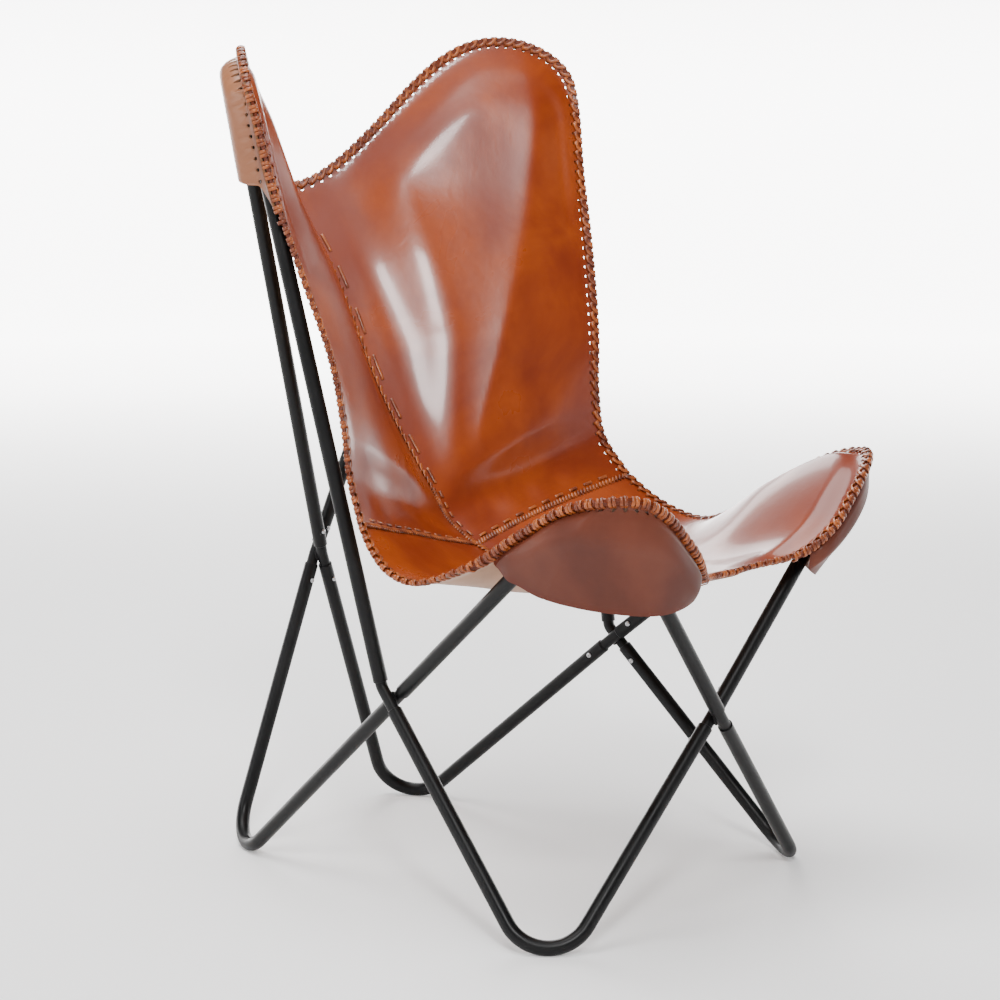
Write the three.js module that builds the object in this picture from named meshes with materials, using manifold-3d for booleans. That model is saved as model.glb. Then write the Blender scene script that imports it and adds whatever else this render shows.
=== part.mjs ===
// Butterfly sling chair: a knock-down frame of bent steel tube under a laced leather sling.
// Millimetres, +Z up. The sitter faces -Y and has +X on the left. The origin is on the floor,
// under the middle of the chair's bounding box.
//
// Eight bent tubes stand in pairs of legs, horns and wings. Four welded cross connectors join
// them: every connector is two rods side by side, and each of its four ends is a spigot that
// slides into a tube and is held by one screw. The sling is four leather panels, laced along
// their seams and edges, with a pocket over each of the four upper tube bends.

import * as THREE from 'three';
import { mergeVertices } from 'three/addons/utils/BufferGeometryUtils.js';
import Module from 'manifold-3d';

const wasm = await Module();
wasm.setup();

// Tube, rod and weld
const tube_diameter = 16;
const tube_wall = 1.2;
const fit_clearance = 0.3;
const rod_diameter = tube_diameter - 2 * (tube_wall + fit_clearance);
const spigot_length = 36;
const weld_sink = 0.15;
const weld_length = 17;
const weld_throat = 5;
const weld_width = 11;

// Bends, measured on the centreline
const foot_bend_radius = 46;
const wing_bend_radius = 42;
const horn_bend_radius = 60;
const rod_bend_radius = 14;

// Crossings of the four connectors. The side crossings stand at Y = 0.
const side_hub_spread = 198;
const side_hub_height = 226.5;
const front_hub_reach = 277;
const front_hub_height = 211;
const back_hub_reach = 290;
const back_hub_height = 323;
const side_bend_rise = 17;

// Sharp corners of the tube triangles, before they are bent round
const front_foot_spread = 244;
const front_foot_reach = 240;
const back_foot_spread = 148;
const back_foot_reach = 305;
const wing_spread = 250;
const wing_reach = 310;
const wing_height = 489;
const horn_spread = 290;
const horn_reach = 184;
const horn_height = 1105;

// Tube ends and feet
const tube_end_gap = 13;
const bend_end_gap = 1.5;
const foot_flat_depth = 0.5;

// Screws
const screw_inset = 20;
const screw_diameter = 3;
const screw_head_diameter = 5.6;
const screw_head_height = 1.8;
const screw_grip = 3.4;
const screw_crown_share = 0.6;

// Leather
const leather_thickness = 3.2;
const pocket_thickness = 2.6;
const seam_gap = 1;
const seat_height = 333;
const notch_reach = 335;
const lace_diameter = 8;
const seam_lace_width = 6.5;
const seam_lace_height = 2.4;
const strap_width = 30;
const strap_thickness = 2.2;
const strap_clearance = 0.8;

// How far the leather stands off the line of its laced edge
const edge_roll = 16;
const horn_crown = 16;
const wing_crown = 7;
const horn_pocket_depth = 22;
const horn_pocket_flare = 16;
const wing_pocket_depth = 15;
const pocket_clearance = 0.5;
const fold_depth = 5;

// Faces
const tube_sides = 12;
const rod_sides = 10;
const hole_sides = 8;
const bend_steps = 8;
const panel_columns = 12;
const back_rows = 18;
const seat_rows = 15;
const pocket_columns = 10;
const pocket_rows = 6;

const vec = (x, y, z) => new THREE.Vector3(x, y, z);
const between = (a, b, share) => a.clone().lerp(b, share);
const aim = (from, to) => to.clone().sub(from).normalize();
const mirrored = (point) => vec(-point.x, point.y, point.z);
const smooth = (x) => {
  const inside = THREE.MathUtils.clamp(x, 0, 1);
  return inside * inside * (3 - 2 * inside);
};
const quarterRound = (x) => {
  const inside = THREE.MathUtils.clamp(x, 0, 1);
  return Math.sqrt(Math.max(0, 1 - (1 - inside) ** 2));
};

// Finishes
const finish = (name, colour, roughness, metalness) =>
  new THREE.MeshStandardMaterial({ name, color: colour, roughness, metalness });
const black_enamel = () => finish('black_enamel', 0x17171a, 0.42, 0.35);
const bright_steel = () => finish('bright_steel', 0xb9bcc0, 0.3, 1);
const tan_leather = () => finish('tan_leather', 0x9a4319, 0.32, 0);
const brown_leather = () => finish('brown_leather', 0x7a3a22, 0.45, 0);
const lace_leather = () => finish('lace_leather', 0x9c5023, 0.5, 0);
const raw_leather = () => finish('raw_leather', 0xa9784f, 0.85, 0);

const chair = new THREE.Group();
chair.name = 'butterfly_sling_chair';

function addPiece(name, geometry, material) {
  const mesh = new THREE.Mesh(geometry, material);
  mesh.name = name;
  chair.add(mesh);
  return mesh;
}

// The same faces on shared vertices
function joined(geometry) {
  const bare = geometry.clone();
  bare.deleteAttribute('normal');
  bare.deleteAttribute('uv');
  return mergeVertices(bare);
}

// Solid geometry to manifold and back
function toSolid(geometry) {
  const merged = joined(geometry);
  return new wasm.Manifold(new wasm.Mesh({
    numProp: 3,
    vertProperties: new Float32Array(merged.attributes.position.array),
    triVerts: new Uint32Array(merged.index.array),
  }));
}

function toGeometry(solid) {
  const mesh = solid.getMesh();
  const geometry = new THREE.BufferGeometry();
  geometry.setAttribute('position', new THREE.BufferAttribute(mesh.vertProperties, 3));
  geometry.setIndex(new THREE.BufferAttribute(mesh.triVerts, 1));
  geometry.computeVertexNormals();
  return geometry;
}

// A straight run, a round bend and a second straight run. Each straight run is one step.
class BentPath extends THREE.Curve {
  constructor(start, corner, end, radius, steps) {
    super();
    this.steps = steps;
    const back = aim(corner, start);
    const ahead = aim(corner, end);
    const half = back.angleTo(ahead) / 2;
    const tangent = radius / Math.tan(half);
    const middle = back.clone().add(ahead).normalize();
    this.start = start;
    this.end = end;
    this.radius = radius;
    this.bendStart = corner.clone().addScaledVector(back, tangent);
    this.bendEnd = corner.clone().addScaledVector(ahead, tangent);
    this.centre = corner.clone().addScaledVector(middle, radius / Math.sin(half));
    this.out = aim(this.centre, this.bendStart);
    this.along = back.clone().negate();
    this.turn = Math.PI - 2 * half;
    this.apex = this.centre.clone().addScaledVector(middle, -radius);
  }

  onBend(share) {
    const angle = this.turn * share;
    return this.centre.clone()
      .addScaledVector(this.out, this.radius * Math.cos(angle))
      .addScaledVector(this.along, this.radius * Math.sin(angle));
  }

  getPoint(t) {
    const step = t * (this.steps + 2);
    if (step <= 1) {
      return between(this.start, this.bendStart, step);
    }
    if (step >= this.steps + 1) {
      return between(this.bendEnd, this.end, step - this.steps - 1);
    }
    return this.onBend((step - 1) / this.steps);
  }

  getPointAt(u) {
    return this.getPoint(u);
  }

  getTangentAt(u) {
    const share = THREE.MathUtils.clamp((u * (this.steps + 2) - 1) / this.steps, 0, 1);
    const angle = this.turn * share;
    return this.along.clone().multiplyScalar(Math.cos(angle))
      .addScaledVector(this.out, -Math.sin(angle)).normalize();
  }
}

function roundShape(radius, sides) {
  const shape = new THREE.Shape();
  for (let i = 0; i < sides; i += 1) {
    const angle = (2 * Math.PI * i) / sides;
    const x = radius * Math.cos(angle);
    const y = radius * Math.sin(angle);
    if (i === 0) {
      shape.moveTo(x, y);
    } else {
      shape.lineTo(x, y);
    }
  }
  shape.closePath();
  return shape;
}

const sweep = (shape, path, steps) =>
  new THREE.ExtrudeGeometry(shape, { steps, extrudePath: path, bevelEnabled: false });

// A plain round bar between two points
function bar(from, to, diameter, sides) {
  const length = from.distanceTo(to);
  const geometry = new THREE.CylinderGeometry(diameter / 2, diameter / 2, length, sides);
  geometry.applyQuaternion(new THREE.Quaternion().setFromUnitVectors(vec(0, 1, 0), aim(from, to)));
  const middle = between(from, to, 1 / 2);
  geometry.translate(middle.x, middle.y, middle.z);
  return geometry;
}

// Connector crossings. Each holds two rods, half a rod to either side along its own normal.
const rod_offset = rod_diameter / 2 - weld_sink;
const hubs = {
  left: { centre: vec(side_hub_spread, 0, side_hub_height), outward: vec(1, 0, 0) },
  right: { centre: vec(-side_hub_spread, 0, side_hub_height), outward: vec(-1, 0, 0) },
  front: { centre: vec(0, -front_hub_reach, front_hub_height), outward: vec(0, -1, 0) },
  back: { centre: vec(0, back_hub_reach, back_hub_height), outward: vec(0, 1, 0) },
};
const rodAt = (hub, layer) =>
  hubs[hub].centre.clone().addScaledVector(hubs[hub].outward, layer * rod_offset);

// The height of a foot's sharp corner, so that its bend just reaches the floor
const foot_passes = 24;
const foot_samples = 60;

function footCorner(x, y, hubA, hubB) {
  const corner = vec(x, y, -foot_bend_radius);
  const target = tube_diameter / 2 - foot_flat_depth;
  for (let pass = 0; pass < foot_passes; pass += 1) {
    const bend = new BentPath(hubA, corner, hubB, foot_bend_radius, bend_steps);
    let lowest = Infinity;
    for (let i = 0; i <= foot_samples; i += 1) {
      lowest = Math.min(lowest, bend.onBend(i / foot_samples).z);
    }
    corner.z += target - lowest;
  }
  return corner;
}

// Rods: the outer layer of a side hub carries the front leg and the horn
const front_left_foot = footCorner(front_foot_spread, -front_foot_reach,
  rodAt('left', 1), rodAt('front', 1));
const front_right_foot = footCorner(-front_foot_spread, -front_foot_reach,
  rodAt('right', 1), rodAt('front', -1));
const back_left_foot = footCorner(back_foot_spread, back_foot_reach,
  rodAt('left', -1), rodAt('back', -1));
const back_right_foot = footCorner(-back_foot_spread, back_foot_reach,
  rodAt('right', -1), rodAt('back', 1));
const left_wing = vec(wing_spread, -wing_reach, wing_height);
const right_wing = mirrored(left_wing);
const left_horn = vec(horn_spread, horn_reach, horn_height);
const right_horn = mirrored(left_horn);

// A rod runs from one tube's corner to another's, through its hub, and is bent once.
// The side rods that carry the horns are bent above the crossing, the others at it.
const rods = {
  left_outer: { hub: 'left', layer: 1, low: front_left_foot, high: left_horn, raised: true },
  left_inner: { hub: 'left', layer: -1, low: back_left_foot, high: left_wing, raised: false },
  right_outer: { hub: 'right', layer: 1, low: front_right_foot, high: right_horn, raised: true },
  right_inner: { hub: 'right', layer: -1, low: back_right_foot, high: right_wing, raised: false },
  front_outer: { hub: 'front', layer: 1, low: front_left_foot, high: right_wing, raised: false },
  front_inner: { hub: 'front', layer: -1, low: front_right_foot, high: left_wing, raised: false },
  back_inner: { hub: 'back', layer: -1, low: back_left_foot, high: right_horn, raised: false },
  back_outer: { hub: 'back', layer: 1, low: back_right_foot, high: left_horn, raised: false },
};

for (const rod of Object.values(rods)) {
  rod.crossing = rodAt(rod.hub, rod.layer);
  const rise = rod.raised ? side_bend_rise : 0;
  rod.bend = rod.crossing.clone().addScaledVector(aim(rod.low, rod.crossing), rise);
  const turn = Math.PI - aim(rod.bend, rod.low).angleTo(aim(rod.bend, rod.high));
  const tangent = rod_bend_radius * Math.tan(turn / 2);
  rod.lowEnd = rod.crossing.clone().addScaledVector(aim(rod.crossing, rod.low), tube_end_gap);
  const highGap = rod.raised ? tangent + bend_end_gap : tube_end_gap;
  rod.highEnd = rod.bend.clone().addScaledVector(aim(rod.bend, rod.high), highGap);
}

// Where a rod's spigot and its tube share an axis
const spigotMouth = (rod, end) => (end === 'low' ? rod.lowEnd : rod.highEnd);
const spigotAim = (rod, end) => aim(spigotMouth(rod, end), end === 'low' ? rod.low : rod.high);

// Each screw faces the inside of the chair, square to its tube
function screwPlace(rod, end) {
  const axis = spigotAim(rod, end);
  const seat = spigotMouth(rod, end).clone().addScaledVector(axis, screw_inset);
  const inward = hubs[rod.hub].outward.clone().negate();
  inward.addScaledVector(axis, -inward.dot(axis)).normalize();
  return { seat, inward };
}

function screwHole(rod, end) {
  const { seat, inward } = screwPlace(rod, end);
  const from = seat.clone().addScaledVector(inward, tube_diameter / 2 - tube_wall - screw_grip
    - fit_clearance);
  const to = seat.clone().addScaledVector(inward, tube_diameter);
  return toSolid(bar(from, to, screw_diameter + 2 * fit_clearance, hole_sides));
}

// Tubes, each bent once over its corner
const tubes = [
  ['front_left_leg', front_left_foot, foot_bend_radius, [['left_outer', 'low'], ['front_outer', 'low']]],
  ['front_right_leg', front_right_foot, foot_bend_radius, [['right_outer', 'low'], ['front_inner', 'low']]],
  ['back_left_leg', back_left_foot, foot_bend_radius, [['left_inner', 'low'], ['back_inner', 'low']]],
  ['back_right_leg', back_right_foot, foot_bend_radius, [['right_inner', 'low'], ['back_outer', 'low']]],
  ['left_wing_tube', left_wing, wing_bend_radius, [['left_inner', 'high'], ['front_inner', 'high']]],
  ['right_wing_tube', right_wing, wing_bend_radius, [['right_inner', 'high'], ['front_outer', 'high']]],
  ['left_horn_tube', left_horn, horn_bend_radius, [['left_outer', 'high'], ['back_outer', 'high']]],
  ['right_horn_tube', right_horn, horn_bend_radius, [['right_outer', 'high'], ['back_inner', 'high']]],
];

function floorCutter() {
  const reach = 2 * (back_foot_reach + front_foot_reach);
  const block = new THREE.BoxGeometry(reach, reach, foot_bend_radius);
  block.translate(0, 0, -foot_bend_radius / 2);
  return toSolid(block);
}

function makeTube([name, corner, radius, joins]) {
  const ends = joins.map(([rod, end]) => spigotMouth(rods[rod], end));
  const path = new BentPath(ends[0], corner, ends[1], radius, bend_steps);
  const section = roundShape(tube_diameter / 2, tube_sides);
  section.holes.push(roundShape(tube_diameter / 2 - tube_wall, tube_sides));
  let solid = toSolid(sweep(section, path, bend_steps + 2));
  for (const [rod, end] of joins) {
    solid = solid.subtract(screwHole(rods[rod], end));
  }
  if (path.apex.z < foot_bend_radius) {
    solid = solid.subtract(floorCutter());
  }
  addPiece(name, toGeometry(solid), black_enamel());
  return path;
}

const tubePaths = {};
for (const tube of tubes) {
  tubePaths[tube[0]] = makeTube(tube);
}

// Connectors: two rods side by side, welded where they cross
const rod_steps = 4;

function makeRod(rod) {
  const from = rod.lowEnd.clone().addScaledVector(spigotAim(rod, 'low'), spigot_length);
  const to = rod.highEnd.clone().addScaledVector(spigotAim(rod, 'high'), spigot_length);
  const path = new BentPath(from, rod.bend, to, rod_bend_radius, rod_steps);
  let solid = toSolid(sweep(roundShape(rod_diameter / 2, rod_sides), path, rod_steps + 2));
  for (const end of ['low', 'high']) {
    solid = solid.subtract(screwHole(rod, end));
  }
  return solid;
}

function weldBead(hub, pair) {
  const rise = aim(pair[0].low, pair[0].crossing).add(aim(pair[1].low, pair[1].crossing));
  const { outward, centre } = hubs[hub];
  const long = rise.addScaledVector(outward, -rise.dot(outward)).normalize();
  const bead = new THREE.SphereGeometry(1, rod_sides, rod_sides / 2);
  bead.applyMatrix4(new THREE.Matrix4()
    .makeBasis(
      long.clone().multiplyScalar(weld_length / 2),
      outward.clone().multiplyScalar(weld_throat / 2),
      long.clone().cross(outward).multiplyScalar(weld_width / 2),
    )
    .setPosition(centre));
  return toSolid(bead);
}

for (const [name, hub] of [['front_cross_connector', 'front'], ['back_cross_connector', 'back'],
  ['left_cross_connector', 'left'], ['right_cross_connector', 'right']]) {
  const pair = Object.values(rods).filter((rod) => rod.hub === hub);
  const welded = makeRod(pair[0]).add(makeRod(pair[1])).add(weldBead(hub, pair));
  addPiece(name, toGeometry(welded), black_enamel());
}

// Pan-head screws, one through every tube end into its spigot
function screwGeometry() {
  const shank = screw_diameter / 2;
  const head = screw_head_diameter / 2;
  const grip = tube_wall + fit_clearance + screw_grip;
  const profile = [
    new THREE.Vector2(0, -grip),
    new THREE.Vector2(shank, -grip),
    new THREE.Vector2(shank, 0),
    new THREE.Vector2(head, 0),
    new THREE.Vector2(head, screw_head_height / 2),
    new THREE.Vector2(head * screw_crown_share, screw_head_height),
    new THREE.Vector2(0, screw_head_height),
  ];
  return new THREE.LatheGeometry(profile, hole_sides);
}

for (const [name, , , joins] of tubes) {
  joins.forEach(([rod, end], index) => {
    const { seat, inward } = screwPlace(rods[rod], end);
    const screw = addPiece(`${name}_screw_${index + 1}`, screwGeometry(), bright_steel());
    screw.position.copy(seat).addScaledVector(inward, tube_diameter / 2 + fit_clearance);
    screw.quaternion.setFromUnitVectors(vec(0, 1, 0), inward);
  });
}

// The sling hangs from the four upper bends, so its places are shares of theirs
const horn_bend = tubePaths.left_horn_tube.apex;
const wing_bend = tubePaths.left_wing_tube.apex;
const back_rise = horn_bend.z - seat_height;
const wing_rise = wing_bend.z - seat_height;

// Stations down the back: shares of the notch's reach and the back's rise on the centre seam,
// and of the horn bend's spread, its reach and the back's rise on the side edge
const back_seam_shares = [
  [0.15, 0.046], [0.27, 0.091], [0.34, 0.148], [0.56, 0.332],
  [0.79, 0.591], [1, 0.766], [1.1, 0.905], [1.185, 1.055],
];
const back_edge_shares = [
  [0.985, 0.056, 0.15], [0.93, 0.213, 0.235], [0.925, 0.258, 0.323], [0.965, 0.309, 0.458],
  [1.045, 0.449, 0.63], [1.105, 0.59, 0.79], [1.135, 0.669, 0.922], [1.135, 0.787, 1.055],
];
// Stations along the seat: shares of the wing bend's reach and rise on the centre seam, and of
// its spread, reach and rise on the side edge. The first station is the back's own.
const seat_seam_shares = [
  [0, 0.079], [-0.176, 0.018], [-0.387, 0], [-0.616, 0.053],
  [-0.845, 0.167], [-1.05, 0.316], [-1.2, 0.41],
];
const seat_edge_shares = [
  [1.09, -0.053, 0.535], [1.135, -0.169, 0.377], [1.145, -0.3, 0.325], [1.095, -0.51, 0.52],
  [1.065, -0.722, 0.86], [1.075, -0.944, 1.15], [1.05, -1.195, 1.3],
];

const backSeam = new THREE.CatmullRomCurve3(back_seam_shares.map(([y, z]) =>
  vec(0, y * notch_reach, seat_height + z * back_rise)));
const backEdge = new THREE.CatmullRomCurve3(back_edge_shares.map(([x, y, z]) =>
  vec(x * horn_bend.x, y * horn_bend.y, seat_height + z * back_rise)));
const seatSeam = new THREE.CatmullRomCurve3([backSeam.getPoint(0), ...seat_seam_shares
  .map(([y, z]) => vec(0, -y * wing_bend.y, seat_height + z * wing_rise))]);
const seatEdge = new THREE.CatmullRomCurve3([backEdge.getPoint(0), ...seat_edge_shares
  .map(([x, y, z]) => vec(x * wing_bend.x, -y * wing_bend.y, seat_height + z * wing_rise))]);

// How far across the seams' bow reaches, and the outline's shares of the panels
const seam_bow_share = 2.2;
const bow_end_share = 0.35;
const notch_share = 5 / 7;
const horn_tip_share = 0.8;
const horn_side_share = 0.9;
const front_dip_share = 6 / 7;
const front_flat_share = 0.08;
const wing_start_share = 0.6;
const wing_tip_share = 0.7;
const wing_side_share = 0.9;
const seat_flat_share = 0.3;
const seat_flat_end_share = 0.8;

function cornerShare(w, tip, side) {
  const run = THREE.MathUtils.clamp((w - tip) / (1 - tip), 0, 1);
  return side + (1 - side) * Math.sqrt(1 - run * run);
}

const hornTop = (w) => (w < horn_tip_share
  ? notch_share + (1 - notch_share) * smooth(w / horn_tip_share)
  : cornerShare(w, horn_tip_share, horn_side_share));

const wingFront = (w) => (w < wing_tip_share
  ? front_dip_share + (1 - front_dip_share)
    * smooth((w - front_flat_share) / (wing_start_share - front_flat_share))
  : cornerShare(w, wing_tip_share, wing_side_share));

// Distance in from the laced outline, side or end, whichever is nearer
function edgeDistance(edge, w, t, end) {
  const side = (1 - w) * edge.getPoint(Math.min(t, 1)).x;
  const rows = Math.abs(edge.getPoint(1).distanceTo(edge.getPoint(0)));
  return Math.min(side, Math.max(0, end - t) * rows);
}

// Two slack folds on each back half run down from the horn to the seat corner
const fold_line_shares = [[0.62, 0.3], [0.36, 0.12]];
const fold_width_share = 0.1;
const fold_rise_share = 0.25;
const fold_fade_share = 0.4;

function backFold(w, t) {
  const fade = smooth(t / fold_rise_share)
    * (1 - smooth((t - fold_fade_share) / fold_rise_share));
  let depth = 0;
  for (const [high, low] of fold_line_shares) {
    const middle = low + (high - low) * t;
    depth += Math.exp(-(((w - middle) / fold_width_share) ** 2));
  }
  return fold_depth * depth * fade;
}

// Middle surface of the left half of the back, before it is crowned
function backSheet(w, t) {
  const seam = backSeam.getPoint(t);
  const edge = backEdge.getPoint(t);
  const bow = THREE.MathUtils.lerp(w ** seam_bow_share, w, smooth(t / bow_end_share));
  return vec(w * edge.x, seam.y + (edge.y - seam.y) * bow, seam.z + (edge.z - seam.z) * w);
}

const seatCurve = (w) => smooth((w - seat_flat_share) / (1 - seat_flat_share));

function seatSheet(w, t) {
  const seam = seatSeam.getPoint(t);
  const edge = seatEdge.getPoint(t);
  const bow = THREE.MathUtils.lerp(w ** seam_bow_share, w, smooth(t / bow_end_share));
  const lift = THREE.MathUtils.lerp(w, seatCurve(w), smooth(t / seat_flat_end_share));
  return vec(w * edge.x, seam.y + (edge.y - seam.y) * bow, seam.z + (edge.z - seam.z) * lift);
}

// Unit normal of a sheet, towards the sitter
const probe_share = 0.004;
function sheetNormal(sheet, w, t, sign) {
  const w0 = Math.max(w - probe_share, 0);
  const t0 = Math.max(t - probe_share, 0);
  const across = sheet(w + probe_share, t).sub(sheet(w0, t));
  const along = sheet(w, Math.min(t + probe_share, 1)).sub(sheet(w, t0));
  return across.cross(along).normalize().multiplyScalar(sign);
}

const backNormal = (w, t) => sheetNormal(backSheet, w, t, 1);
const seatNormal = (w, t) => sheetNormal(seatSheet, w, t, -1);

const crown_start_share = 0.42;
const crown_full_share = 0.7;
const crown_across_share = 0.35;

function backPoint(w, t, lift) {
  const inset = edgeDistance(backEdge, w, t, hornTop(w));
  const zone = smooth((t - crown_start_share) / (crown_full_share - crown_start_share))
    * smooth(w / crown_across_share);
  const crown = horn_crown * zone * quarterRound(inset / edge_roll) - backFold(w, t);
  return backSheet(w, t).addScaledVector(backNormal(w, t), crown + lift);
}

function seatPoint(w, t, lift) {
  const inset = edgeDistance(seatEdge, w, t, wingFront(w));
  const zone = smooth((t - crown_start_share) / (crown_full_share - crown_start_share))
    * smooth(w / crown_across_share);
  const crown = wing_crown * zone * quarterRound(inset / edge_roll);
  return seatSheet(w, t).addScaledVector(seatNormal(w, t), crown + lift);
}

// A closed shell from two grids of points, one above the other, wound to face outwards
function shellGeometry(over, under, columns, rows) {
  const points = [];
  const faces = [];
  const at = (layer, i, j) => (layer * (columns + 1) + i) * (rows + 1) + j;
  for (const face of [over, under]) {
    for (let i = 0; i <= columns; i += 1) {
      for (let j = 0; j <= rows; j += 1) {
        const point = face(i / columns, j / rows);
        points.push(point.x, point.y, point.z);
      }
    }
  }
  const quad = (a, b, c, d) => faces.push(a, b, c, a, c, d);
  for (let i = 0; i < columns; i += 1) {
    for (let j = 0; j < rows; j += 1) {
      quad(at(0, i, j), at(0, i + 1, j), at(0, i + 1, j + 1), at(0, i, j + 1));
      quad(at(1, i, j), at(1, i, j + 1), at(1, i + 1, j + 1), at(1, i + 1, j));
    }
    quad(at(1, i, 0), at(1, i + 1, 0), at(0, i + 1, 0), at(0, i, 0));
    quad(at(0, i, rows), at(0, i + 1, rows), at(1, i + 1, rows), at(1, i, rows));
  }
  for (let j = 0; j < rows; j += 1) {
    quad(at(0, 0, j), at(0, 0, j + 1), at(1, 0, j + 1), at(1, 0, j));
    quad(at(1, columns, j), at(1, columns, j + 1), at(0, columns, j + 1), at(0, columns, j));
  }
  const geometry = new THREE.BufferGeometry();
  geometry.setAttribute('position', new THREE.BufferAttribute(new Float32Array(points), 3));
  geometry.setIndex(faces);
  return geometry;
}

function turnedOver(geometry) {
  const index = geometry.index.array;
  for (let i = 0; i < index.length; i += 3) {
    const first = index[i];
    index[i] = index[i + 1];
    index[i + 1] = first;
  }
  return geometry;
}

function mirroredGeometry(geometry) {
  const copy = geometry.clone();
  copy.scale(-1, 1, 1);
  return turnedOver(copy);
}

function signedVolume(geometry) {
  const position = geometry.attributes.position;
  const index = geometry.index.array;
  let volume = 0;
  for (let i = 0; i < index.length; i += 3) {
    const a = new THREE.Vector3().fromBufferAttribute(position, index[i]);
    const b = new THREE.Vector3().fromBufferAttribute(position, index[i + 1]);
    const c = new THREE.Vector3().fromBufferAttribute(position, index[i + 2]);
    volume += a.dot(b.cross(c));
  }
  return volume;
}

const facingOut = (geometry) => (signedVolume(geometry) < 0 ? turnedOver(geometry) : geometry);

function addPair(name, geometry, material) {
  const left = facingOut(geometry);
  left.computeVertexNormals();
  const right = mirroredGeometry(left);
  right.computeVertexNormals();
  addPiece(`${name}_left`, left, material());
  addPiece(`${name}_right`, right, material());
}

// Columns crowd towards the side, where the outline turns over the horn or wing
const columnShare = (share) => Math.sin((share * Math.PI) / 2);

// A panel's row on a column, from the cross seam to the outline
function panelRow(edge, end, w, share) {
  const start = seam_gap / edge.getPoint(1).distanceTo(edge.getPoint(0));
  return start + (end(w) - start) * share;
}

function halfPanel(point, edge, end, rows) {
  const face = (lift) => (i, j) => {
    const w = columnShare(i);
    const place = point(w, panelRow(edge, end, w, j), lift);
    place.x = Math.max(place.x, seam_gap / 2);
    return place;
  };
  return shellGeometry(face(leather_thickness / 2), face(-leather_thickness / 2),
    panel_columns, rows);
}

addPair('back_panel', halfPanel(backPoint, backEdge, hornTop, back_rows), tan_leather);
addPair('seat_panel', halfPanel(seatPoint, seatEdge, wingFront, seat_rows), tan_leather);

// A pocket clears the tube inside it. Where a size brings the tube within reach, the pocket
// moves outwards there, and one cell of its grid around. Both sides' tubes count, because the
// right ones join the other layers of the front and back rods.
const pocket_reach = (tube_diameter + pocket_thickness) / 2 + pocket_clearance;
const look_steps = 48;
const look_step = (3 * tube_diameter) / look_steps;
const cell_samples = 4;

function tubeRuns(name) {
  const left = tubePaths[`left_${name}`];
  const right = tubePaths[`right_${name}`];
  const count = left.steps + 2;
  return Array.from({ length: count }, (_, run) => [run / count, (run + 1) / count])
    .flatMap(([from, to]) => [
      new THREE.Line3(left.getPoint(from), left.getPoint(to)),
      new THREE.Line3(mirrored(right.getPoint(from)), mirrored(right.getPoint(to))),
    ]);
}

const isNear = (runs, place) => runs.some((run) =>
  run.closestPointToPoint(place, true, vec(0, 0, 0)).distanceTo(place) < pocket_reach);

// How far a place has to move outwards to leave the tube behind it
function moveNeeded(runs, { place, out }) {
  for (let step = look_steps; step > 0; step -= 1) {
    if (isNear(runs, place.clone().addScaledVector(out, (step - 1) * look_step))) {
      return step * look_step;
    }
  }
  return 0;
}

const gridOf = (columns, rows, value) => Array.from({ length: columns + 1 }, (_, i) =>
  Array.from({ length: rows + 1 }, (__, j) => value(i, j)));

function pocketMoves(base, runs) {
  const columns = pocket_columns * cell_samples;
  const rows = pocket_rows * cell_samples;
  const fine = gridOf(columns, rows, (i, j) => moveNeeded(runs, base(i / columns, j / rows)));
  const around = (list, middle) =>
    list.slice(Math.max(middle - cell_samples, 0), middle + cell_samples + 1);
  return gridOf(pocket_columns, pocket_rows, (i, j) => Math.max(
    ...around(fine, i * cell_samples).flatMap((column) => around(column, j * cell_samples))));
}

function pocketGeometry(base, tube) {
  const moves = pocketMoves(base, tubeRuns(tube));
  const face = (lift) => (i, j) => {
    const { place, out } = base(i, j);
    const move = moves[Math.round(i * pocket_columns)][Math.round(j * pocket_rows)];
    return place.addScaledVector(out, move - lift);
  };
  return shellGeometry(face(pocket_thickness / 2), face(-pocket_thickness / 2),
    pocket_columns, pocket_rows);
}

// Horn pockets lie behind the horns. The mouth climbs from the side edge to the top edge.
const horn_mouth_side_share = 0.66;
const horn_mouth_top_share = 0.8;
const horn_mouth_inner_share = 0.34;
const horn_mouth_curve_share = 0.6;

function hornMouth(w) {
  const inward = THREE.MathUtils.clamp((1 - w) / (1 - horn_mouth_inner_share), 0, 1);
  return horn_mouth_side_share
    + (horn_mouth_top_share - horn_mouth_side_share) * inward ** horn_mouth_curve_share;
}

function hornPocketSpot(i, j) {
  const w = horn_mouth_inner_share + (1 - horn_mouth_inner_share) * columnShare(i);
  const mouth = hornMouth(w);
  const top = hornTop(w);
  const t = mouth + (top - mouth) * j;
  const inset = edgeDistance(backEdge, w, t, top);
  const depth = horn_pocket_depth + horn_pocket_flare * (1 - j);
  const behind = leather_thickness / 2 + fit_clearance + pocket_thickness / 2
    + depth * quarterRound(inset / edge_roll);
  const out = backNormal(w, t).negate();
  return { place: backSheet(w, t).addScaledVector(out, behind), out };
}

addPair('horn_pocket', pocketGeometry(hornPocketSpot, 'horn_tube'), tan_leather);

// Wing pockets hang from the wings' laced edge to a mouth that passes under both tubes
const wing_mouth_side_share = 0.64;
const wing_mouth_front_share = 0.4;
const wing_side_part_share = 0.3;
const wing_mouth_shares = [
  [1.05, 0.67, 0.42], [0.985, 0.757, 0.289], [0.84, 0.908, 0.17], [0.664, 1.06, 0.12],
  [0.575, 1.11, 0.15], [0.487, 1.13, 0.22],
];

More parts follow.
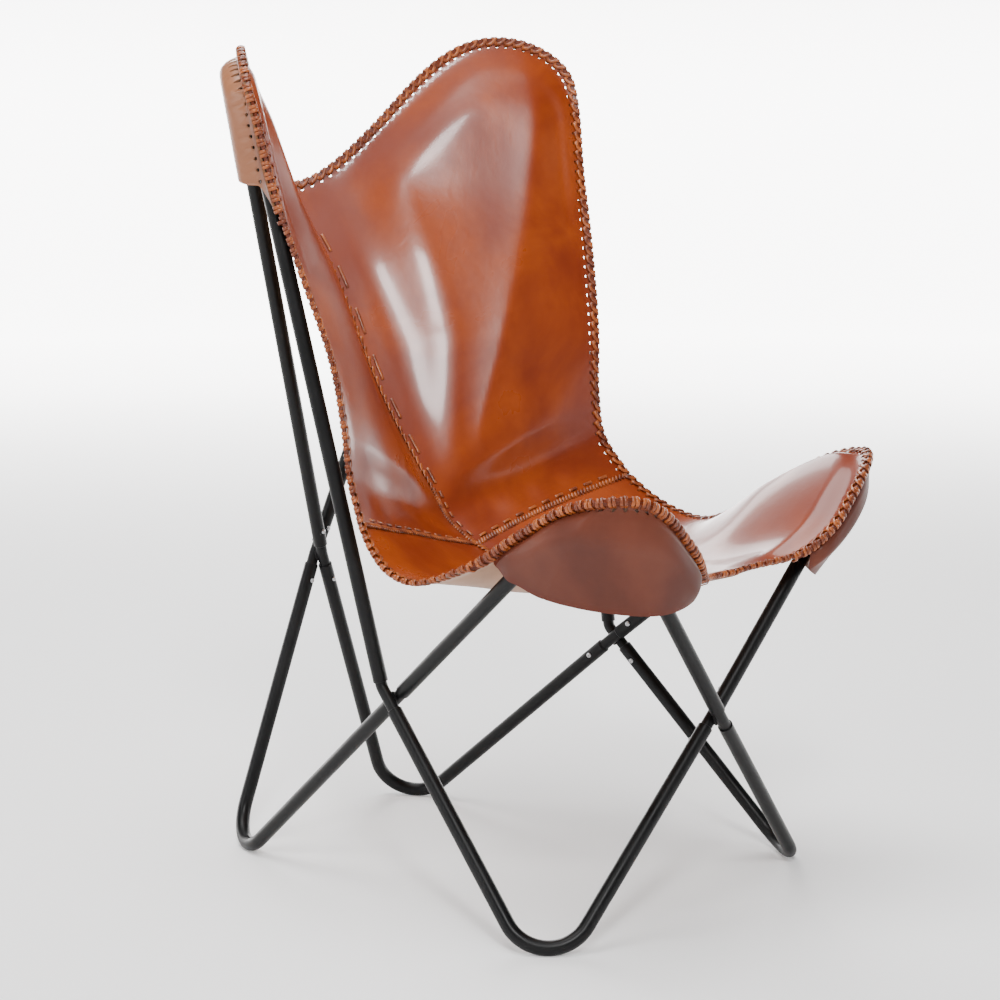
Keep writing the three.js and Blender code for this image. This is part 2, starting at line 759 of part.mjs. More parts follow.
// The wing's laced outline, from the side edge round the tip to the front edge
function wingOutline(share) {
  if (share < wing_side_part_share) {
    const t = wing_mouth_side_share
      + (wing_side_share - wing_mouth_side_share) * (share / wing_side_part_share);
    return { w: 1, t };
  }
  const round = (share - wing_side_part_share) / (1 - wing_side_part_share);
  const w = wing_mouth_front_share
    + (1 - wing_mouth_front_share) * Math.cos((round * Math.PI) / 2);
  return { w, t: wingFront(w) };
}

function underEdge(share) {
  const { w, t } = wingOutline(share);
  const drop = leather_thickness / 2 + fit_clearance + pocket_thickness / 2;
  return seatPoint(w, t, -drop);
}

const wingMouth = new THREE.CatmullRomCurve3([
  underEdge(0),
  ...wing_mouth_shares.map(([x, y, z]) =>
    vec(x * wing_bend.x, y * wing_bend.y, seat_height + z * wing_rise)),
  underEdge(1),
]);
const wing_pocket_side_aim = vec(1, 0, 0);
const wing_pocket_front_aim = vec(0.3, -0.75, -0.6).normalize();
const pocket_end_share = 0.04;
const pocket_bulge_share = 0.3;
const pocket_round_share = 0.15;

function wingPocketSpot(i, j) {
  const share = pocket_end_share + (1 - 2 * pocket_end_share) * i;
  const edge = underEdge(share);
  const mouth = wingMouth.getPoint(share);
  const ends = quarterRound(Math.min(share, 1 - share) / pocket_round_share);
  const bulge = wing_pocket_depth * ends * (1 - j) * quarterRound(j / pocket_bulge_share);
  const out = between(wing_pocket_side_aim, wing_pocket_front_aim, smooth(share)).normalize();
  return { place: between(edge, mouth, j).addScaledVector(out, bulge), out };
}

addPair('wing_pocket', pocketGeometry(wingPocketSpot, 'wing_tube'), brown_leather);

// Edge lacing: a round roll just outside the panels' edges, with a ring at every panel point
const lace_sides = 6;

// A path straight from point to point
class PointPath extends THREE.Curve {
  constructor(points) {
    super();
    this.points = points;
    this.steps = points.length - 1;
  }

  getPointAt(u) {
    const place = THREE.MathUtils.clamp(u, 0, 1) * this.steps;
    const index = Math.min(Math.floor(place), this.steps - 1);
    return between(this.points[index], this.points[index + 1], place - index);
  }

  getTangentAt(u) {
    const index = Math.round(THREE.MathUtils.clamp(u, 0, 1) * this.steps);
    const before = this.points[Math.max(index - 1, 0)];
    const after = this.points[Math.min(index + 1, this.steps)];
    const here = this.points[index];
    const arrive = index > 0 ? aim(before, here) : aim(here, after);
    const leave = index < this.steps ? aim(here, after) : arrive;
    return arrive.clone().add(leave).normalize();
  }
}

// The roll's centreline: every outline point pushed out of the leather by half the roll
function rollPath(outline, turn) {
  const last = outline.length - 1;
  return new PointPath(outline.map(({ point, normal }, index) => {
    const before = outline[Math.max(index - 1, 0)].point;
    const after = outline[Math.min(index + 1, last)].point;
    const out = aim(before, after).cross(normal).normalize();
    return point.clone().addScaledVector(out, turn * (lace_diameter / 2 + fit_clearance));
  }));
}

function laceRoll(outline, turn) {
  const path = rollPath(outline, turn);
  return joined(sweep(roundShape(lace_diameter / 2, lace_sides), path, path.steps));
}

const lace_part = 0.004;
const flipped = ({ point, normal }) => ({ point: mirrored(point), normal: mirrored(normal) });
const inner = (t) => Math.min(t, 1 - probe_share);

// Side edge, from the horn's side down to the wing's side
function sideOutline() {
  const outline = [];
  for (let row = back_rows; row > 0; row -= 1) {
    const t = panelRow(backEdge, hornTop, 1, row / back_rows) - (row === back_rows ? lace_part : 0);
    outline.push({ point: backPoint(1, t, 0), normal: backNormal(1, t) });
  }
  for (let row = 1; row <= seat_rows; row += 1) {
    const t = panelRow(seatEdge, wingFront, 1, row / seat_rows) - (row === seat_rows ? lace_part : 0);
    outline.push({ point: seatPoint(1, t, 0), normal: seatNormal(1, t) });
  }
  return outline;
}

// Top or front edge, across both halves
function endOutline(point, normal, end) {
  const half = [];
  for (let column = 1; column <= panel_columns; column += 1) {
    const w = columnShare(column / panel_columns);
    half.push({ point: point(w, end(w), 0), normal: normal(inner(w), inner(end(w))) });
  }
  const middle = { point: point(0, end(0), 0), normal: normal(0, end(0)) };
  middle.point.x = 0;
  middle.normal.x = 0;
  return [...half.map(flipped).reverse(), middle, ...half];
}

addPair('side_edge_lace', laceRoll(sideOutline(), -1), lace_leather);
addPiece('top_edge_lace', laceRoll(endOutline(backPoint, backNormal, hornTop), -1), lace_leather());
addPiece('front_edge_lace', laceRoll(endOutline(seatPoint, seatNormal, wingFront), 1),
  lace_leather());

// Seam lacing lies on top of the seams, and a backing strap lies beneath them
const lace_lift = leather_thickness / 2 + fit_clearance + seam_lace_height / 2;
const strap_drop = -(leather_thickness / 2 + strap_clearance + strap_thickness / 2);
const seam_end_share = 0.05;
const centre_strip_columns = 2;
const cross_strip_columns = 4;
const cross_seam_steps = 10;

// The mitre of two normals that meet in a seam
function mitred(point, normalA, normalB, lift) {
  const facing = normalA.clone().add(normalB).normalize();
  return point.clone().addScaledVector(facing, lift / facing.dot(normalA));
}

// A strip over the centre seam, folded along it, that lies along the panels' inner columns
function centreStrip(point, edge, end, rows, width, thickness, lift) {
  const far_share = columnShare(1 / panel_columns);
  const onFacet = (w, row, rise) => {
    const low = Math.min(Math.floor(row * rows), rows - 1);
    return between(point(w, panelRow(edge, end, w, low / rows), rise),
      point(w, panelRow(edge, end, w, (low + 1) / rows), rise), row * rows - low);
  };
  const face = (side) => (i, j) => {
    const row = THREE.MathUtils.clamp(j, seam_end_share, 1 - seam_end_share);
    const rise = lift + (side * thickness) / 2;
    const near = onFacet(0, row, rise);
    const far = onFacet(far_share, row, rise);
    const x = (i - 1 / 2) * width;
    const place = between(near, far, (Math.abs(x) - near.x) / (far.x - near.x));
    return x < 0 ? mirrored(place) : place;
  };
  return facingOut(shellGeometry(face(1), face(-1), centre_strip_columns, rows));
}

// A strip over the left half of the cross seam, from the back panel to the seat panel
function crossStrip(width, thickness, lift, first) {
  const face = (side) => (i, j) => {
    const w = first + (1 - seam_end_share - first) * j;
    const rise = lift + (side * thickness) / 2;
    const run = Math.abs(i - 1 / 2) * width;
    if (run < seam_gap / 2) {
      return mitred(backSheet(w, 0), backNormal(w, 0), seatNormal(w, 0), rise);
    }
    const [sheet, point] = i < 1 / 2 ? [backSheet, backPoint] : [seatSheet, seatPoint];
    const pitch = sheet(w, 0).distanceTo(sheet(w, probe_share)) / probe_share;
    return point(w, run / pitch, rise);
  };
  return shellGeometry(face(1), face(-1), cross_strip_columns, cross_seam_steps);
}

function addCentreStrips(name, width, thickness, lift, material) {
  addPiece(`centre_back_${name}`, centreStrip(backPoint, backEdge, hornTop, back_rows,
    width, thickness, lift), material());
  addPiece(`centre_seat_${name}`, centreStrip(seatPoint, seatEdge, wingFront, seat_rows,
    width, thickness, lift), material());
}

addCentreStrips('seam_lace', seam_lace_width, seam_lace_height, lace_lift, lace_leather);
addCentreStrips('seam_strap', strap_width, strap_thickness, strap_drop, raw_leather);
const half_edge = backEdge.getPoint(0).x;
addPair('cross_seam_lace', crossStrip(seam_lace_width, seam_lace_height, lace_lift,
  (seam_lace_width / 2 + 2 * fit_clearance) / half_edge), lace_leather);
addPair('cross_seam_strap', crossStrip(strap_width, strap_thickness, strap_drop,
  (strap_width / 2 + 2 * fit_clearance) / half_edge), raw_leather);

// The chair stands with the middle of its bounding box over the origin
const bounds = new THREE.Box3().setFromObject(chair);
chair.position.y = -(bounds.min.y + bounds.max.y) / 2;
chair.updateMatrixWorld(true);

export default chair;
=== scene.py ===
"""Butterfly sling chair: a knock-down frame of bent steel tube under a laced leather sling.

Metres, +Z up. The sitter faces -Y and has +X on the left. Shapes are worked out with the side
crossings at Y = 0 and are then moved to the chair's own frame, whose origin is on the floor.
"""

import logging
import math
from dataclasses import dataclass, field
from enum import Enum
from typing import Callable, Iterable, Sequence

import bmesh
import bpy
import numpy as np
from bpy.types import Material, Mesh, Node, NodeSocket, NodeTree, Object
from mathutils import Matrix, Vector
from mathutils.geometry import delaunay_2d_cdt


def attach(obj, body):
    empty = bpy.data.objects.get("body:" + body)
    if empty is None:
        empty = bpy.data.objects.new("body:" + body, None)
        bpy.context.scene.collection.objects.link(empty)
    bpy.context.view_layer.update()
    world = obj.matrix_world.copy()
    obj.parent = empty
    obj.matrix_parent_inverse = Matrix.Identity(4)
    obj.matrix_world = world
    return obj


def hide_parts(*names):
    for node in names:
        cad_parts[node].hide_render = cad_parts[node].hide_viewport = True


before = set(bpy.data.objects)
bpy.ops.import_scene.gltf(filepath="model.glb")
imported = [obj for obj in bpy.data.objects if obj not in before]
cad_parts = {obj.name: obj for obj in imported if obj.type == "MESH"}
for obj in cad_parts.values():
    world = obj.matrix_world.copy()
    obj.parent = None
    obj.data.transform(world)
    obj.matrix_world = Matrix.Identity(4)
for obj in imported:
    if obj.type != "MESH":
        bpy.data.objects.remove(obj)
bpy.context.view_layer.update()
LOG = logging.getLogger("sling_chair")

Array = np.ndarray
Surface = Callable[[Array, Array], Array]

MM = 0.001
CROSSING_Y = 2.69 * MM
ROOT = "root"
EDGE_SHADE_WIDTH = 12 * MM


class Side(Enum):
    """The sitter's left or right half, as the sign of X."""

    LEFT = 1
    RIGHT = -1

    @property
    def word(self) -> str:
        """The half's name in a piece's name."""
        return self.name.lower()


# Small sums on arrays of points


def unit(vectors: Array) -> Array:
    """Vectors of length one, along the last axis."""
    return vectors / np.linalg.norm(vectors, axis=-1, keepdims=True)


def smooth(x: Array) -> Array:
    """A smooth step from 0 at 0 to 1 at 1."""
    inside = np.clip(x, 0, 1)
    return inside * inside * (3 - 2 * inside)


def quarter_round(x: Array) -> Array:
    """The height of a quarter circle over its run from 0 to 1."""
    inside = np.clip(x, 0, 1)
    return np.sqrt(np.maximum(0, 1 - (1 - inside) ** 2))


def mirrored(points: Array, side: Side) -> Array:
    """Points of the left half, on the side asked for."""
    return points * np.array([side.value, 1, 1])


def dot(a: Array, b: Array) -> Array:
    """Dot products along the last axis."""
    return np.sum(a * b, axis=-1)


def paired(*parts: Array) -> Array:
    """Rows of coordinates, from an array for each coordinate."""
    return np.stack(parts, axis=-1)


def soft_max(a: Array, b: Array, reach: float) -> Array:
    """The larger of two, with a rounded change from one to the other."""
    return (a + b + np.sqrt((a - b) ** 2 + reach ** 2)) / 2 - reach ** 2 / (
        4 * np.sqrt((a - b) ** 2 + reach ** 2))


def levelled(x: Array) -> Array:
    """A share that grows from 0 and levels off, rounded, at 1."""
    return np.maximum(-soft_max(-x, -np.ones(len(x)), 0.25), 0)


class Spline:
    """A centripetal Catmull-Rom curve through points, which runs straight on past its ends."""

    def __init__(self, points: Sequence) -> None:
        """Keeps the points with one more at each end.

        Args:
            points: places in order; each may itself be an array of places.
        """
        held = np.asarray(points, dtype=float)
        self.count = len(held)
        self.points = np.concatenate([[2 * held[0] - held[1]], held, [2 * held[-1] - held[-2]]])

    def at(self, t: Array) -> Array:
        """Places at shares t of the way along.

        Args:
            t: shares from 0 to 1, in one row.

        Returns:
            One place, or array of places, for each share.
        """
        shares = np.atleast_1d(np.asarray(t, dtype=float))
        inside = np.clip(shares, 0, 1)
        step = inside * (self.count - 1)
        index = np.minimum(np.floor(step).astype(int), self.count - 2)
        grow = (slice(None),) + (None,) * (self.points.ndim - 1)
        weight = (step - index)[grow]
        p0, p1, p2, p3 = (self.points[index + k] for k in range(4))

        def pace(a: Array, b: Array) -> Array:
            """The knot's step between two places."""
            return np.maximum(np.linalg.norm(b - a, axis=-1, keepdims=True) ** 0.5, 1e-6)

        d0, d1, d2 = pace(p0, p1), pace(p1, p2), pace(p2, p3)
        start = ((p1 - p0) / d0 - (p2 - p0) / (d0 + d1) + (p2 - p1) / d1) * d1
        finish = ((p2 - p1) / d1 - (p3 - p1) / (d1 + d2) + (p3 - p2) / d2) * d1
        square = 3 * (p2 - p1) - 2 * start - finish
        cube = 2 * (p1 - p2) + start + finish
        place = p1 + weight * (start + weight * (square + weight * cube))
        slope = (start + weight * (2 * square + 3 * weight * cube)) * (self.count - 1)
        return place + slope * (shares - inside)[grow]


# Meshes


def make_object(name: str, points: Array, faces: Iterable[Sequence[int]]) -> Object:
    """A mesh object in the scene, moved from the crossings' frame to the chair's.

    Args:
        name: the piece's name.
        points: the vertices.
        faces: vertex numbers of each face.

    Returns:
        The new object, smooth but for its sharp edges.
    """
    mesh = bpy.data.meshes.new(name)
    places = np.asarray(points) + np.array([0, CROSSING_Y, 0])
    mesh.from_pydata(places.tolist(), [], [list(map(int, face)) for face in faces])
    mesh.polygons.foreach_set("use_smooth", [True] * len(mesh.polygons))
    mesh.validate()
    mesh.set_sharp_from_angle(angle=math.radians(40))
    piece = bpy.data.objects.new(name, mesh)
    bpy.context.collection.objects.link(piece)
    return piece


def grid_faces(rows: int, columns: int, close_rows: bool, close_columns: bool) -> list:
    """Quads over a grid of points, row by row.

    Args:
        rows: rows of points.
        columns: points in a row.
        close_rows: join the last row to the first.
        close_columns: join the last column to the first.

    Returns:
        Vertex numbers of each quad.
    """
    faces = []
    for i in range(rows if close_rows else rows - 1):
        for j in range(columns if close_columns else columns - 1):
            i2, j2 = (i + 1) % rows, (j + 1) % columns
            faces.append((i * columns + j, i * columns + j2, i2 * columns + j2, i2 * columns + j))
    return faces


def rings(points: Array, tangents: Array, normal: Array, radii: Array, sides: int) -> Array:
    """Circles of points round the stations of a flat path.

    Args:
        points: stations.
        tangents: the path's direction at each.
        normal: the normal of the path's plane.
        radii: the circle's radius at each.
        sides: points in a circle.

    Returns:
        Stations by sides by 3.
    """
    across = unit(np.cross(normal, tangents))
    angles = np.linspace(0, 2 * math.pi, sides, endpoint=False)
    turn = np.cos(angles)[:, None] * across[:, None, :] + np.sin(angles)[:, None] * normal
    return points[:, None, :] + radii[:, None, None] * turn


def finish_piece(piece: Object, slot: str, *nodes: str) -> None:
    """Sets a piece on the chair's one body, in place of its CAD nodes.

    Args:
        piece: the finished object.
        slot: not used.
        *nodes: the CAD nodes that it stands for.
    """
    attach(piece, ROOT)
    if nodes:
        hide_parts(*nodes)
    LOG.info("%s: %d faces", piece.name, len(piece.data.polygons))


# Finishes


def set_inputs(node: Node, **values: object) -> None:
    """Sets a node's inputs, which are named with _ for a space."""
    for name, value in values.items():
        node.inputs[name.replace("_", " ")].default_value = value


@dataclass(frozen=True)
class Finish:
    """A surface finish: its name and how it is made as a material."""

    name: str

    def start(self) -> tuple:
        """A new material's node tree, its shader and its object coordinates.

        Returns:
            The material, its tree, its shader and its coordinates.
        """
        material = bpy.data.materials.new(self.name)
        material.use_nodes = True
        nodes = material.node_tree.nodes
        shader = nodes["Principled BSDF"]
        place = nodes.new("ShaderNodeTexCoord").outputs["Object"]
        return material, material.node_tree, shader, place

    @staticmethod
    def noise(tree: NodeTree, place: NodeSocket, scale: float,
              detail: float = 4.0, warp: float = 0.0) -> NodeSocket:
        """The value of a noise texture at a place.

        Args:
            tree: the material's tree.
            place: coordinates.
            scale: waves to the metre.
            detail: octaves.
            warp: distortion.

        Returns:
            The noise's value socket.
        """
        node = tree.nodes.new("ShaderNodeTexNoise")
        set_inputs(node, Scale=scale, Detail=detail, Distortion=warp)
        tree.links.new(place, node.inputs["Vector"])
        return node.outputs["Fac"]

    @staticmethod
    def spread(tree: NodeTree, value: NodeSocket, low: float, high: float,
               to_low: float, to_high: float) -> NodeSocket:
        """Maps a value's range to another, held at its ends.

        Args:
            tree: the material's tree.
            value: the socket to map.
            low: its range's start.
            high: its range's end.
            to_low: the value at the start.
            to_high: the value at the end.

        Returns:
            The mapped value's socket.
        """
        node = tree.nodes.new("ShaderNodeMapRange")
        node.interpolation_type = "SMOOTHSTEP"
        set_inputs(node, From_Min=low, From_Max=high, To_Min=to_low, To_Max=to_high)
        tree.links.new(value, node.inputs["Value"])
        return node.outputs["Result"]

    @staticmethod
    def mix(tree: NodeTree, share: NodeSocket, first: object,
            second: object) -> NodeSocket:
        """A colour between two colours or colour sockets.

        Args:
            tree: the material's tree.
            share: how much of the second.
            first: a colour or a socket.
            second: likewise.

        Returns:
            The mixed colour's socket.
        """
        node = tree.nodes.new("ShaderNodeMix")
        node.data_type = "RGBA"
        tree.links.new(share, node.inputs["Factor"])
        for socket, colour in ((node.inputs[6], first), (node.inputs[7], second)):
            if isinstance(colour, tuple):
                socket.default_value = (*colour, 1)
            else:
                tree.links.new(colour, socket)
        return node.outputs[2]

    @staticmethod
    def bump(tree: NodeTree, shader: Node, height: NodeSocket,
             strength: float, depth: float) -> None:
        """Adds a bump of a height's value to the shader, over any bump that it has.

        Args:
            tree: the material's tree.
            shader: the shader node.
            height: the height's socket.
            strength: from 0 to 1.
            depth: the height's reach in metres.
        """
        node = tree.nodes.new("ShaderNodeBump")
        set_inputs(node, Strength=strength, Distance=depth)
        tree.links.new(height, node.inputs["Height"])
        held = shader.inputs["Normal"].links
        if held:
            tree.links.new(held[0].from_socket, node.inputs["Normal"])
        tree.links.new(node.outputs["Normal"], shader.inputs["Normal"])


@dataclass(frozen=True)
class Leather(Finish):
    """Leather with mottled colour, painted shade near its edges, and a fine grain."""

    light: tuple = (0.27, 0.046, 0.006)
    dark: tuple = (0.16, 0.019, 0.002)
    # The colour of the painted shade near the edges.
    edge: tuple = (0.085, 0.012, 0.002)
    gloss: tuple = (0.26, 0.38)
    coat: float = 0.28
    coat_roughness: float = 0.11
    mottle: float = 7.0
    grain: float = 900.0
    grain_strength: float = 0.12
    grain_depth: float = 0.3 * MM
    pebble_depth: float = 1.2 * MM
    sheen: float = 0.0
    specular: float = 0.3
    speck_share: float = 0.2
    # How strong the painted shade near the edges is.
    edge_strength: float = 0.75

    def material(self) -> Material:
        """The leather as a material that reads the attribute edge_share as its painted edge
        shade.

        Returns:
            The new material.
        """
        material, tree, shader, place = self.start()
        broad = self.noise(tree, place, self.mottle, 5, 0.6)
        fine = self.noise(tree, place, self.mottle * 9, 6)
        colour = self.mix(tree, self.spread(tree, broad, 0.36, 0.66, 0, 1), self.dark, self.light)
        speck = self.spread(tree, fine, 0.35, 0.75, 0, self.speck_share)
        colour = self.mix(tree, speck, colour, self.dark)
        # Painted shade: the colour goes towards the edge colour where edge_share is high, near
        # the edges.
        edge = tree.nodes.new("ShaderNodeAttribute")
        edge.attribute_name = "edge_share"
        painted_shade = self.spread(tree, edge.outputs["Fac"], 0, 1, 0, self.edge_strength)
        colour = self.mix(tree, painted_shade, colour, self.edge)
        tree.links.new(colour, shader.inputs["Base Color"])
        rough = self.spread(tree, broad, 0.3, 0.7, self.gloss[1], self.gloss[0])
        tree.links.new(rough, shader.inputs["Roughness"])
        set_inputs(shader, Coat_Weight=self.coat, Coat_Roughness=self.coat_roughness,
                   Sheen_Weight=self.sheen, Specular_IOR_Level=self.specular)
        for grain, depth in ((self.noise(tree, place, self.grain, 3), self.grain_depth),
                             (self.noise(tree, place, self.grain / 12, 4, 0.4),
                              self.pebble_depth)):
            self.bump(tree, shader, grain, self.grain_strength, depth)
        return material


@dataclass(frozen=True)
class Enamel(Finish):
    """Satin black enamel on steel, with a faint orange peel."""

    colour: tuple = (0.002, 0.002, 0.0022)
    gloss: tuple = (0.34, 0.46)
    specular: float = 0.2

    def material(self) -> Material:
        """The enamel as a material.

        Returns:
            The new material.
        """
        material, tree, shader, place = self.start()
        broad = self.noise(tree, place, 22, 3)
        pale = tuple(2.2 * part for part in self.colour)
        colour = self.mix(tree, self.spread(tree, broad, 0.35, 0.7, 0, 1), self.colour, pale)
        tree.links.new(colour, shader.inputs["Base Color"])
        rough = self.spread(tree, broad, 0.3, 0.7, *self.gloss)
        tree.links.new(rough, shader.inputs["Roughness"])
        set_inputs(shader, Specular_IOR_Level=self.specular)
        self.bump(tree, shader, self.noise(tree, place, 700, 2), 0.1, 0.15 * MM)
        return material


@dataclass(frozen=True)
class Steel(Finish):
    """Bright plated steel."""

    colour: tuple = (0.62, 0.63, 0.65)

    def material(self) -> Material:
        """The steel as a material.

        Returns:
            The new material.
        """
        material, tree, shader, place = self.start()
        wear = self.noise(tree, place, 300, 3)
        dull = tuple(0.6 * part for part in self.colour)
        tree.links.new(self.mix(tree, wear, dull, self.colour), shader.inputs["Base Color"])
        set_inputs(shader, Metallic=1)
        tree.links.new(self.spread(tree, wear, 0.3, 0.7, 0.2, 0.4), shader.inputs["Roughness"])
        return material


TAN = Leather("tan_leather")
RAW = Leather("raw_leather", light=(0.36, 0.175, 0.085), dark=(0.24, 0.10, 0.045),
              edge=(0.12, 0.05, 0.02), gloss=(0.75, 0.9), coat=0.0, grain=420,
              grain_strength=0.35, sheen=0.3)
BROWN = Leather("brown_leather", light=(0.115, 0.024, 0.009), dark=(0.070, 0.013, 0.005),
                gloss=(0.42, 0.55), coat=0.08, coat_roughness=0.3, mottle=5, specular=0.22)
PALE = Leather("pale_leather", light=(0.34, 0.15, 0.07), dark=(0.24, 0.09, 0.04),
               gloss=(0.34, 0.46), coat=0.2, coat_roughness=0.25, mottle=5)
THONG = Leather("lace_leather", light=(0.34, 0.085, 0.018), dark=(0.12, 0.022, 0.005),
                gloss=(0.32, 0.46), coat=0.2, coat_roughness=0.2, mottle=60,
                grain_strength=0.25)
ENAMEL = Enamel("black_enamel")
STEEL = Steel("bright_steel")


# Geometry Nodes for what repeats


class RepeatTree:
    """A Geometry Nodes tree with named inputs, whose result is kept as a plain mesh."""

    def __init__(self, name: str) -> None:
        """Starts a tree with its geometry sockets and its Finish input.

        Args:
            name: the tree's name.
        """
        self.tree = bpy.data.node_groups.new(name, "GeometryNodeTree")
        self.inputs = {}
        self.add_input("Geometry", "NodeSocketGeometry")
        self.tree.interface.new_socket("Geometry", in_out="OUTPUT",
                                       socket_type="NodeSocketGeometry")
        self.add_input("Finish", "NodeSocketMaterial")
        self.source = self.node("NodeGroupInput")
        self.result = self.node("NodeGroupOutput")

    def add_input(self, name: str, kind: str) -> None:
        """Adds a named input and keeps its identifier."""
        socket = self.tree.interface.new_socket(name, in_out="INPUT", socket_type=kind)
        self.inputs[name] = socket.identifier

    def node(self, kind: str, **values: object) -> Node:
        """A new node with some of its properties set.

        Args:
            kind: the node's type.
            **values: its properties.

        Returns:
            The node.
        """
        made = self.tree.nodes.new(kind)
        for key, value in values.items():
            setattr(made, key, value)
        return made

    def link(self, *pairs: tuple) -> None:
        """Joins sockets, each given as a node and an output, and a node and an input."""
        for source, out, into, name in pairs:
            self.tree.links.new(source.outputs[out], into.inputs[name])

    def attribute(self, name: str) -> Node:
        """The node that reads a named vector attribute.

        Args:
            name: the attribute's name.

        Returns:
            The node.
        """
        made = self.node("GeometryNodeInputNamedAttribute", data_type="FLOAT_VECTOR")
        set_inputs(made, Name=name)
        return made

    def close(self, last: Node, name: str) -> None:
        """Ends the tree: real copies, smooth faces and the finish.

        Args:
            last: the node that ends the tree's work.
            name: its output.
        """
        real = self.node("GeometryNodeRealizeInstances")
        soft = self.node("GeometryNodeSetShadeSmooth")
        paint = self.node("GeometryNodeSetMaterial")
        self.link((last, name, real, "Geometry"), (real, "Geometry", soft, "Geometry"),
                  (soft, "Geometry", paint, "Geometry"),
                  (self.source, "Finish", paint, "Material"),
                  (paint, "Geometry", self.result, "Geometry"))

    def bake(self, piece: Object, **values: object) -> Object:
        """Runs the tree on an object and keeps the result as its mesh.

        Args:
            piece: the object that holds the points or routes.
            **values: the tree's inputs by name, with _ for a space.

        Returns:
            The same object, with no modifier left.
        """
        modifier = piece.modifiers.new(self.tree.name, "NODES")
        modifier.node_group = self.tree
        for name, value in values.items():
            modifier[self.inputs[name.replace("_", " ")]] = value
        graph = bpy.context.evaluated_depsgraph_get()
        mesh = bpy.data.meshes.new_from_object(piece.evaluated_get(graph))
        piece.modifiers.clear()
        piece.data = mesh
        return piece


class ThongTree(RepeatTree):
    """Sweeps a flat rounded thong along each route, with its flat side to face_normal."""

    def __init__(self) -> None:
        """Builds the tree."""
        super().__init__("thongs")
        self.add_input("Thong Width", "NodeSocketFloat")
        self.add_input("Thong Thickness", "NodeSocketFloat")
        curve = self.node("GeometryNodeMeshToCurve")
        facing = self.node("GeometryNodeSetCurveNormal", mode="FREE")
        circle = self.node("GeometryNodeCurvePrimitiveCircle")
        set_inputs(circle, Resolution=8, Radius=0.5)
        size = self.node("ShaderNodeCombineXYZ")
        shape = self.node("GeometryNodeTransform")
        sweep = self.node("GeometryNodeCurveToMesh")
        set_inputs(sweep, Fill_Caps=True)
        self.link((self.source, "Geometry", curve, "Mesh"), (curve, "Curve", facing, "Curve"),
                  (self.attribute("face_normal"), "Attribute", facing, "Normal"),
                  (self.source, "Thong Thickness", size, "X"),
                  (self.source, "Thong Width", size, "Y"),
                  (circle, "Curve", shape, "Geometry"), (size, "Vector", shape, "Scale"),
                  (facing, "Curve", sweep, "Curve"), (shape, "Geometry", sweep, "Profile Curve"))
        self.close(sweep, "Mesh")

    def lay(self, name: str, routes: Array, normals: Array, width: float, thickness: float,
            paint: Material) -> Object:
        """Thongs along many routes as one piece.

        Args:
            name: the piece's name.
            routes: stations by routes by 3.
            normals: the flat side's direction at each station.
            width: the thong's width.
            thickness: its thickness.
            paint: its material.

        Returns:
            The piece, as a plain mesh.
        """
        stations, count = routes.shape[:2]
        mesh = bpy.data.meshes.new(name)
        places = routes.transpose(1, 0, 2).reshape(-1, 3) + np.array([0, CROSSING_Y, 0])
        edges = [(r * stations + k, r * stations + k + 1)
                 for r in range(count) for k in range(stations - 1)]
        mesh.from_pydata(places.tolist(), edges, [])
        facing = mesh.attributes.new("face_normal", "FLOAT_VECTOR", "POINT")
        facing.data.foreach_set("vector", unit(normals).transpose(1, 0, 2).ravel())
        piece = bpy.data.objects.new(name, mesh)
        bpy.context.collection.objects.link(piece)
        return self.bake(piece, Finish=paint, Thong_Width=width, Thong_Thickness=thickness)


class CopyTree(RepeatTree):
    """Sets a copy of one shape on each point, with its Z along facing and its X along heading."""

    def __init__(self) -> None:
        """Builds the tree."""
        super().__init__("copies")
        self.add_input("Shape", "NodeSocketObject")
        shape = self.node("GeometryNodeObjectInfo")
        turn = self.node("FunctionNodeAxesToRotation")
        copies = self.node("GeometryNodeInstanceOnPoints")
        self.link((self.source, "Shape", shape, "Object"),
                  (self.attribute("facing"), "Attribute", turn, "Primary Axis"),
                  (self.attribute("heading"), "Attribute", turn, "Secondary Axis"),
                  (self.source, "Geometry", copies, "Points"),
                  (shape, "Geometry", copies, "Instance"), (turn, "Rotation", copies, "Rotation"))
        self.close(copies, "Instances")

    def lay(self, name: str, places: Array, facing: Array, heading: Array,
            shape: Object, paint: Material) -> Object:
        """Copies of a shape as one piece.

        Args:
            name: the piece's name.
            places: where the copies stand.
            facing: each copy's Z.
            heading: each copy's X.
            shape: the shape, made round the origin. It is deleted afterwards.
            paint: the copies' material.

        Returns:
            The piece, as a plain mesh.
        """
        mesh = bpy.data.meshes.new(name)
        mesh.from_pydata((places + np.array([0, CROSSING_Y, 0])).tolist(), [], [])
        for key, vectors in (("facing", facing), ("heading", heading)):
            held = mesh.attributes.new(key, "FLOAT_VECTOR", "POINT")
            held.data.foreach_set("vector", np.ascontiguousarray(vectors, dtype=float).ravel())
        piece = bpy.data.objects.new(name, mesh)
        bpy.context.collection.objects.link(piece)
        self.bake(piece, Finish=paint, Shape=shape)
        bpy.data.objects.remove(shape)
        return piece


# The steel frame


